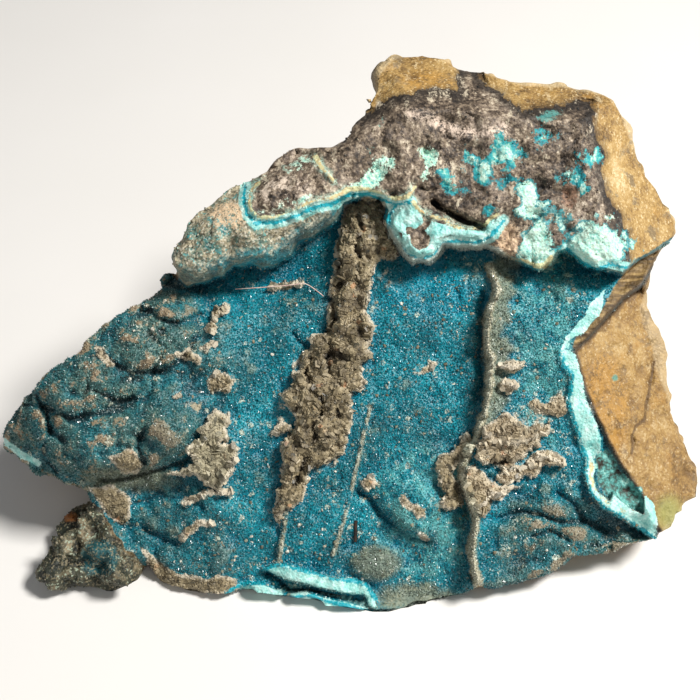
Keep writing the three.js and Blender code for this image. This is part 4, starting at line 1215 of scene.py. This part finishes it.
def hiddenSides(rock):
    # the flanks and the back with painted shade in their hollows, then the knob, its dark colours partly
    # its own and partly painted shade
    hollow, fleck = rock.hollow, rock.fleck
    knob = layered(
        # the knob's colours carry painted shade from the overhang
        ramp(rock.mottle, rockLook["knob"]),
        # painted shade in the knob's hollows
        ((16, 18, 15), span(hollow, 0.1, 0.6) * 0.8),
        ((16, 84, 90), rock.within("knobTeal", 4, 0, 0.8) * 0.85),
        ((130, 120, 94), span(fleck, 0.64, 0.7) * 0.7),
        ((190, 120, 60), rock.within("orange", 2, 0, 0.6) * 0.8),
        ((168, 186, 166), span(rock.mid * 0.7 + fleck * 0.5, 0.76, 0.82) * 0.7))
    return layered(
        ramp(rock.stain, rockLook["matrix"]),
        ((84, 70, 54), span(rock.noise(14, 5, 0.65, 14), 0.52, 0.6) * 0.8),
        ((204, 188, 156), span(rock.noise(3.4, 5, 0.7, 61), 0.58, 0.66) * 0.6),
        # painted shade in the hollows of the flanks and back
        ((50, 38, 26), span(hollow, 0.06, 0.3) * 0.8),
        (rock.film, span(rock.noise(10, 5, 0.65, 17), 0.61, 0.66) * 0.7),
        (knob, rock.zone("knob")))


def rockColours(rock):
    # the colour, roughness and fine relief of every zone; the grains read it too
    blue = blueSheet(rock)
    colour = blend(crustOver(rock, blue), deckAndArm(rock, blue), rock.onShelf)
    colour, onPale = veinsOver(rock, growthOver(rock, breakOver(rock, colour)))
    colour = blend(hiddenSides(rock), colour, rock.within("front", 0.3, 0.35, 0.6))
    glossy = onPale.atLeast(span(rock.zone("cyan"), 0.4, 0.25))
    roughness = 0.62 - 0.22 * span(rock.zone("druse"), 0.2, 0.8) - 0.2 * glossy + (rock.fine - 0.5) * 0.3
    relief = rock.fine * 0.5 + rock.cells(0.42, "Distance") * 0.5
    return colour, roughness, relief


def rockMaterial():
    rock = RockRecipe("chrysocolla rock")
    return rock.finish(*rockColours(rock), bumpDepths["rock"])


def grainMaterial(name, lift, gloss):
    # quartz points and grit take the colour of what they grow on, each a shade of its own; the palest few
    # are lifted towards a pale colour, which on the quartz points is painted sparkle
    rock = RockRecipe(name)
    colour, _, relief = rockColours(rock)
    tone = rock.zone("tone")
    # a few grains lifted pale, on the quartz points as painted sparkle, and a few darkened at random
    colour = layered(colour, (lift, span(tone, 0.84, 1) * 0.4), ((6, 30, 36), span(tone, 0.3, 0) * 0.6))
    return rock.finish(colour, gloss + tone * 0.25, relief, bumpDepths["grains"], IOR=1.54)


def crumbMaterial():
    # bits of crust and dust caught in the druse
    recipe = Recipe("crumbs")
    fine = recipe.noise(0.4, 3, 0.7)
    colour = ramp(recipe.zone("tone"), rockLook["crumbs"])
    colour = blend(colour, (52, 56, 46), span(fine, 0.5, 0.35) * 0.7)
    return recipe.finish(colour, 0.5 + fine * 0.3, fine, bumpDepths["crumbs"])


def intoScene(name, data):
    made = bpy.data.objects.new(name, data)
    bpy.context.scene.collection.objects.link(made)
    return made


def addPiece(name, mesh):
    piece = intoScene(name, mesh)
    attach(piece, "root")
    print(name, "made:", len(mesh.polygons), "faces")
    return piece


# Grains grown over the rock: how many on a square millimetre, sizes in millimetres, tilt in radians
grains = {
    "quartz points": {"shape": "point", "number": 13.0, "smallest": 0.16, "largest": 0.36, "tilt": 0.7},
    "crust grit": {"shape": "lump", "number": 7.0, "smallest": 0.18, "largest": 0.5, "tilt": 3.0},
    "crust flakes": {"shape": "flake", "number": 1.1, "smallest": 0.4, "largest": 1.5, "tilt": 0.9},
    "crumbs": {"shape": "lump", "number": 0.3, "smallest": 0.12, "largest": 0.75, "tilt": 3.0},
}
grainShapes = {
    "point": ("Cone", {"Vertices": 5, "Radius Top": 0, "Radius Bottom": 0.5, "Depth": 0.9}),
    "lump": ("IcoSphere", {"Radius": 0.5, "Subdivisions": 1}),
    "flake": ("Cylinder", {"Vertices": 5, "Radius": 0.5, "Depth": 0.28}),
}
# Each piece's grains and seed; they grow where the rock's attribute of the same name is above 0
crops = {
    "druseLeft": ("quartz points", 1),
    "druseMiddle": ("quartz points", 2),
    "druseRight": ("quartz points", 3),
    "crustGritLeft": ("crust grit", 9),
    "crustGritRight": ("crust grit", 10),
    "crustFlakes": ("crust flakes", 21),
    "crumbs": ("crumbs", 14),
}
toneSeed = 77


def growTree(name):
    group = bpy.data.node_groups.new(name, "GeometryNodeTree")
    wants = {"Geometry": "Geometry", "Density": "Float", "Smallest": "Float", "Largest": "Float",
             "Tilt": "Float", "Seed": "Int", "Mask": "String", "Material": "Material"}
    for label, kind in wants.items():
        group.interface.new_socket(name=label, in_out="INPUT", socket_type="NodeSocket" + kind)
    group.interface.new_socket(name="Geometry", in_out="OUTPUT", socket_type="NodeSocketGeometry")
    maker = NodeMaker(group)
    given = maker.add("NodeGroupInput")
    want = {label: given.beside(label) for label in wants}
    seed = want["Seed"]
    mask = maker.add("GeometryNodeInputNamedAttribute", {"data_type": "FLOAT"}, {"Name": want["Mask"]})
    spread = {"Mesh": want["Geometry"], "Density": want["Density"] * mask, "Seed": seed}
    points = maker.add("GeometryNodeDistributePointsOnFaces", {}, spread, "Points")
    shape, shapeSizes = grainShapes[grains[name]["shape"]]
    grain = maker.add("GeometryNodeMesh" + shape, {}, shapeSizes, "Mesh")
    anyVector = {"data_type": "FLOAT_VECTOR"}
    tilts = {0: want["Tilt"] * -1.0, 1: want["Tilt"], "Seed": seed}
    turn = maker.add("FunctionNodeRandomValue", anyVector, tilts)
    turned = maker.add("FunctionNodeEulerToRotation", {}, {"Euler": turn})
    rotation = maker.add("FunctionNodeRotateRotation", {"rotation_space": "LOCAL"},
                         {"Rotation": points.beside("Rotation"), "Rotate By": turned})
    sizes = {0: want["Smallest"], 1: want["Largest"], "Seed": seed}
    size = maker.add("FunctionNodeRandomValue", anyVector, sizes)
    placed = maker.add("GeometryNodeInstanceOnPoints", {},
                       {"Points": points, "Instance": grain, "Rotation": rotation, "Scale": size})
    tones = {2: 0.0, 3: 1.0, "Seed": toneSeed}
    tone = maker.add("FunctionNodeRandomValue", {"data_type": "FLOAT"}, tones, 1)
    toned = maker.add("GeometryNodeStoreNamedAttribute", {"data_type": "FLOAT", "domain": "INSTANCE"},
                      {"Geometry": placed, "Name": "tone", "Value": tone})
    real = maker.add("GeometryNodeRealizeInstances", {}, {"Geometry": toned})
    coloured = maker.add("GeometryNodeSetMaterial", {}, {"Geometry": real, "Material": want["Material"]})
    maker.add("NodeGroupOutput", {}, {"Geometry": coloured})
    return group


def asMesh(holder):
    # the evaluated object as a plain mesh; the object itself goes
    graph = bpy.context.evaluated_depsgraph_get()
    made = bpy.data.meshes.new_from_object(
        holder.evaluated_get(graph), preserve_all_data_layers=True, depsgraph=graph)
    holder.modifiers.clear()
    bpy.data.objects.remove(holder)
    return made


def grow(name, mesh, tree, material):
    kind, seed = crops[name]
    spec = grains[kind]
    inputs = {"Density": spec["number"] * 1e6, "Smallest": spec["smallest"] / 1000,
              "Largest": spec["largest"] / 1000, "Tilt": spec["tilt"], "Seed": seed, "Mask": name,
              "Material": material}
    host = intoScene(name + "Host", mesh)
    modifier = host.modifiers.new("grow", "NODES")
    modifier.node_group = tree
    for item in tree.interface.items_tree:
        if item.in_out == "INPUT" and item.name in inputs:
            modifier[item.identifier] = inputs[item.name]
    addPiece(name, asMesh(host))


def makeRock():
    mesh = refinedRock()
    markZones(mesh, finishFlanks(mesh))
    mesh.materials.append(rockMaterial())
    for polygon in mesh.polygons:
        polygon.use_smooth = True
    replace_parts(addPiece("rock", mesh), "chrysocolla_rock")
    return mesh


def growGrains(mesh):
    materials = {
        "quartz points": grainMaterial("quartz points", (196, 214, 208), 0.16),
        "crust grit": grainMaterial("crust grit", (206, 192, 164), 0.45),
        "crumbs": crumbMaterial(),
    }
    materials["crust flakes"] = materials["crust grit"]
    trees = {kind: growTree(kind) for kind in grains}
    for name, (kind, _) in crops.items():
        grow(name, mesh, trees[kind], materials[kind])


# A stray fibre caught on the crust and a dark splinter: millimetres, and the places each passes
strands = {
    "fibre": {"radius": 0.07, "lift": 0.9, "colours": ((214, 178, 168), (236, 214, 200)), "line": [
        (-16.4, 46.6), (-11.7, 46.9), (-7.3, 47.2), (-6.6, 47.7), (-5, 46.6), (-3.8, 45.6),
    ]},
    "needle": {"radius": 0.24, "lift": 0.2, "colours": ((30, 22, 18), (58, 40, 30)), "line": [
        (0.85, 13.5), (0.75, 12.6), (0.85, 11.6), (0.75, 10.5),
    ]},
}


def makeStrand(name, spec):
    across, up = (np.array(part, float) for part in zip(*spec["line"]))
    height = faceHeight(across, up, faceZones(across, up))
    links = np.array([[n, n + 1] for n in range(len(height) - 1)])
    height = np.maximum(height, spreadOut(height, links, 3)) + spec["lift"]
    curve = bpy.data.curves.new(name, "CURVE")
    curve.dimensions = "3D"
    spline = curve.splines.new("NURBS")
    spline.points.add(len(across) - 1)
    for point, place in zip(spline.points, rowPoints(across, up, height)):
        point.co = (*place, 1)
    spline.use_endpoint_u = True
    curve.bevel_depth = spec["radius"] / 1000
    curve.bevel_resolution = 1
    curve.use_fill_caps = True
    tube = asMesh(intoScene(name + "Curve", curve))
    recipe = Recipe(name)
    along = recipe.noise(1.0)
    colour = blend(*spec["colours"], span(along, 0.4, 0.6))
    tube.materials.append(recipe.finish(colour, 0.5 + along * 0.1, along, bumpDepths["even"]))
    addPiece(name, tube)


studio = {
    "floor": {"reach": 3, "colours": ((226, 224, 220), (230, 228, 225))},  # metres each way
    "lights": {
        "key": {"at": (0.30, -0.06, 0.48), "size": 0.12, "power": 4.7, "colour": (1.0, 0.975, 0.94)},
        "fill": {"at": (-0.42, -0.30, 0.34), "size": 0.40, "power": 0.3, "colour": (0.95, 0.98, 1.0)},
        "front": {"at": (0.10, -0.45, 0.50), "size": 0.40, "power": 0.3, "colour": (1.0, 1.0, 1.0)},
    },
    "aim": (0, 0, 0.025),  # what the lights point at
    "sky": {"colour": (0.95, 0.97, 1.0, 1), "strength": 0.13},
    "camera": {"lens": 66.9, "sensor": 36, "nearest": 0.01, "farthest": 20},
}


def makeFloor():
    reach = studio["floor"]["reach"]
    corners = [(-reach, -reach, 0), (reach, -reach, 0), (reach, reach, 0), (-reach, reach, 0)]
    floorMesh = bpy.data.meshes.new("floor")
    floorMesh.from_pydata(corners, [], [(0, 1, 2, 3)])
    recipe = Recipe("floor")
    paper = recipe.noise(30, 2)
    colour = blend(*studio["floor"]["colours"], paper)
    floorMesh.materials.append(recipe.finish(colour, 0.8 + paper * 0.05, paper, bumpDepths["even"]))
    intoScene("floor", floorMesh)


def makeLights():
    for name, spec in studio["lights"].items():
        lamp = bpy.data.lights.new(name, "AREA")
        lamp.size = spec["size"]
        lamp.energy = spec["power"]
        lamp.color = spec["colour"]
        holder = intoScene(name, lamp)
        holder.location = spec["at"]
        aim = Vector(studio["aim"]) - Vector(spec["at"])
        holder.rotation_euler = aim.to_track_quat("-Z", "Y").to_euler()
    world = bpy.data.worlds.new("studio")
    world.use_nodes = True
    background = world.node_tree.nodes["Background"]
    background.inputs["Color"].default_value = studio["sky"]["colour"]
    background.inputs["Strength"].default_value = studio["sky"]["strength"]
    bpy.context.scene.world = world


def makeCamera():
    spec = studio["camera"]
    camera = bpy.data.cameras.new("camera")
    camera.sensor_width = spec["sensor"]
    camera.lens = spec["lens"]
    camera.clip_start = spec["nearest"]
    camera.clip_end = spec["farthest"]
    holder = intoScene("camera", camera)
    holder.location = rowPoints(0.0, face["level"], face["sight"])
    holder.rotation_euler = (face["lean"], 0, 0)
    bpy.context.scene.camera = holder


skin = makeRock()
growGrains(skin)
skin.validate()  # drops any face without area
for name, spec in strands.items():
    makeStrand(name, spec)
makeFloor()
makeLights()
makeCamera()
bpy.context.scene.view_settings.view_transform = "Standard"
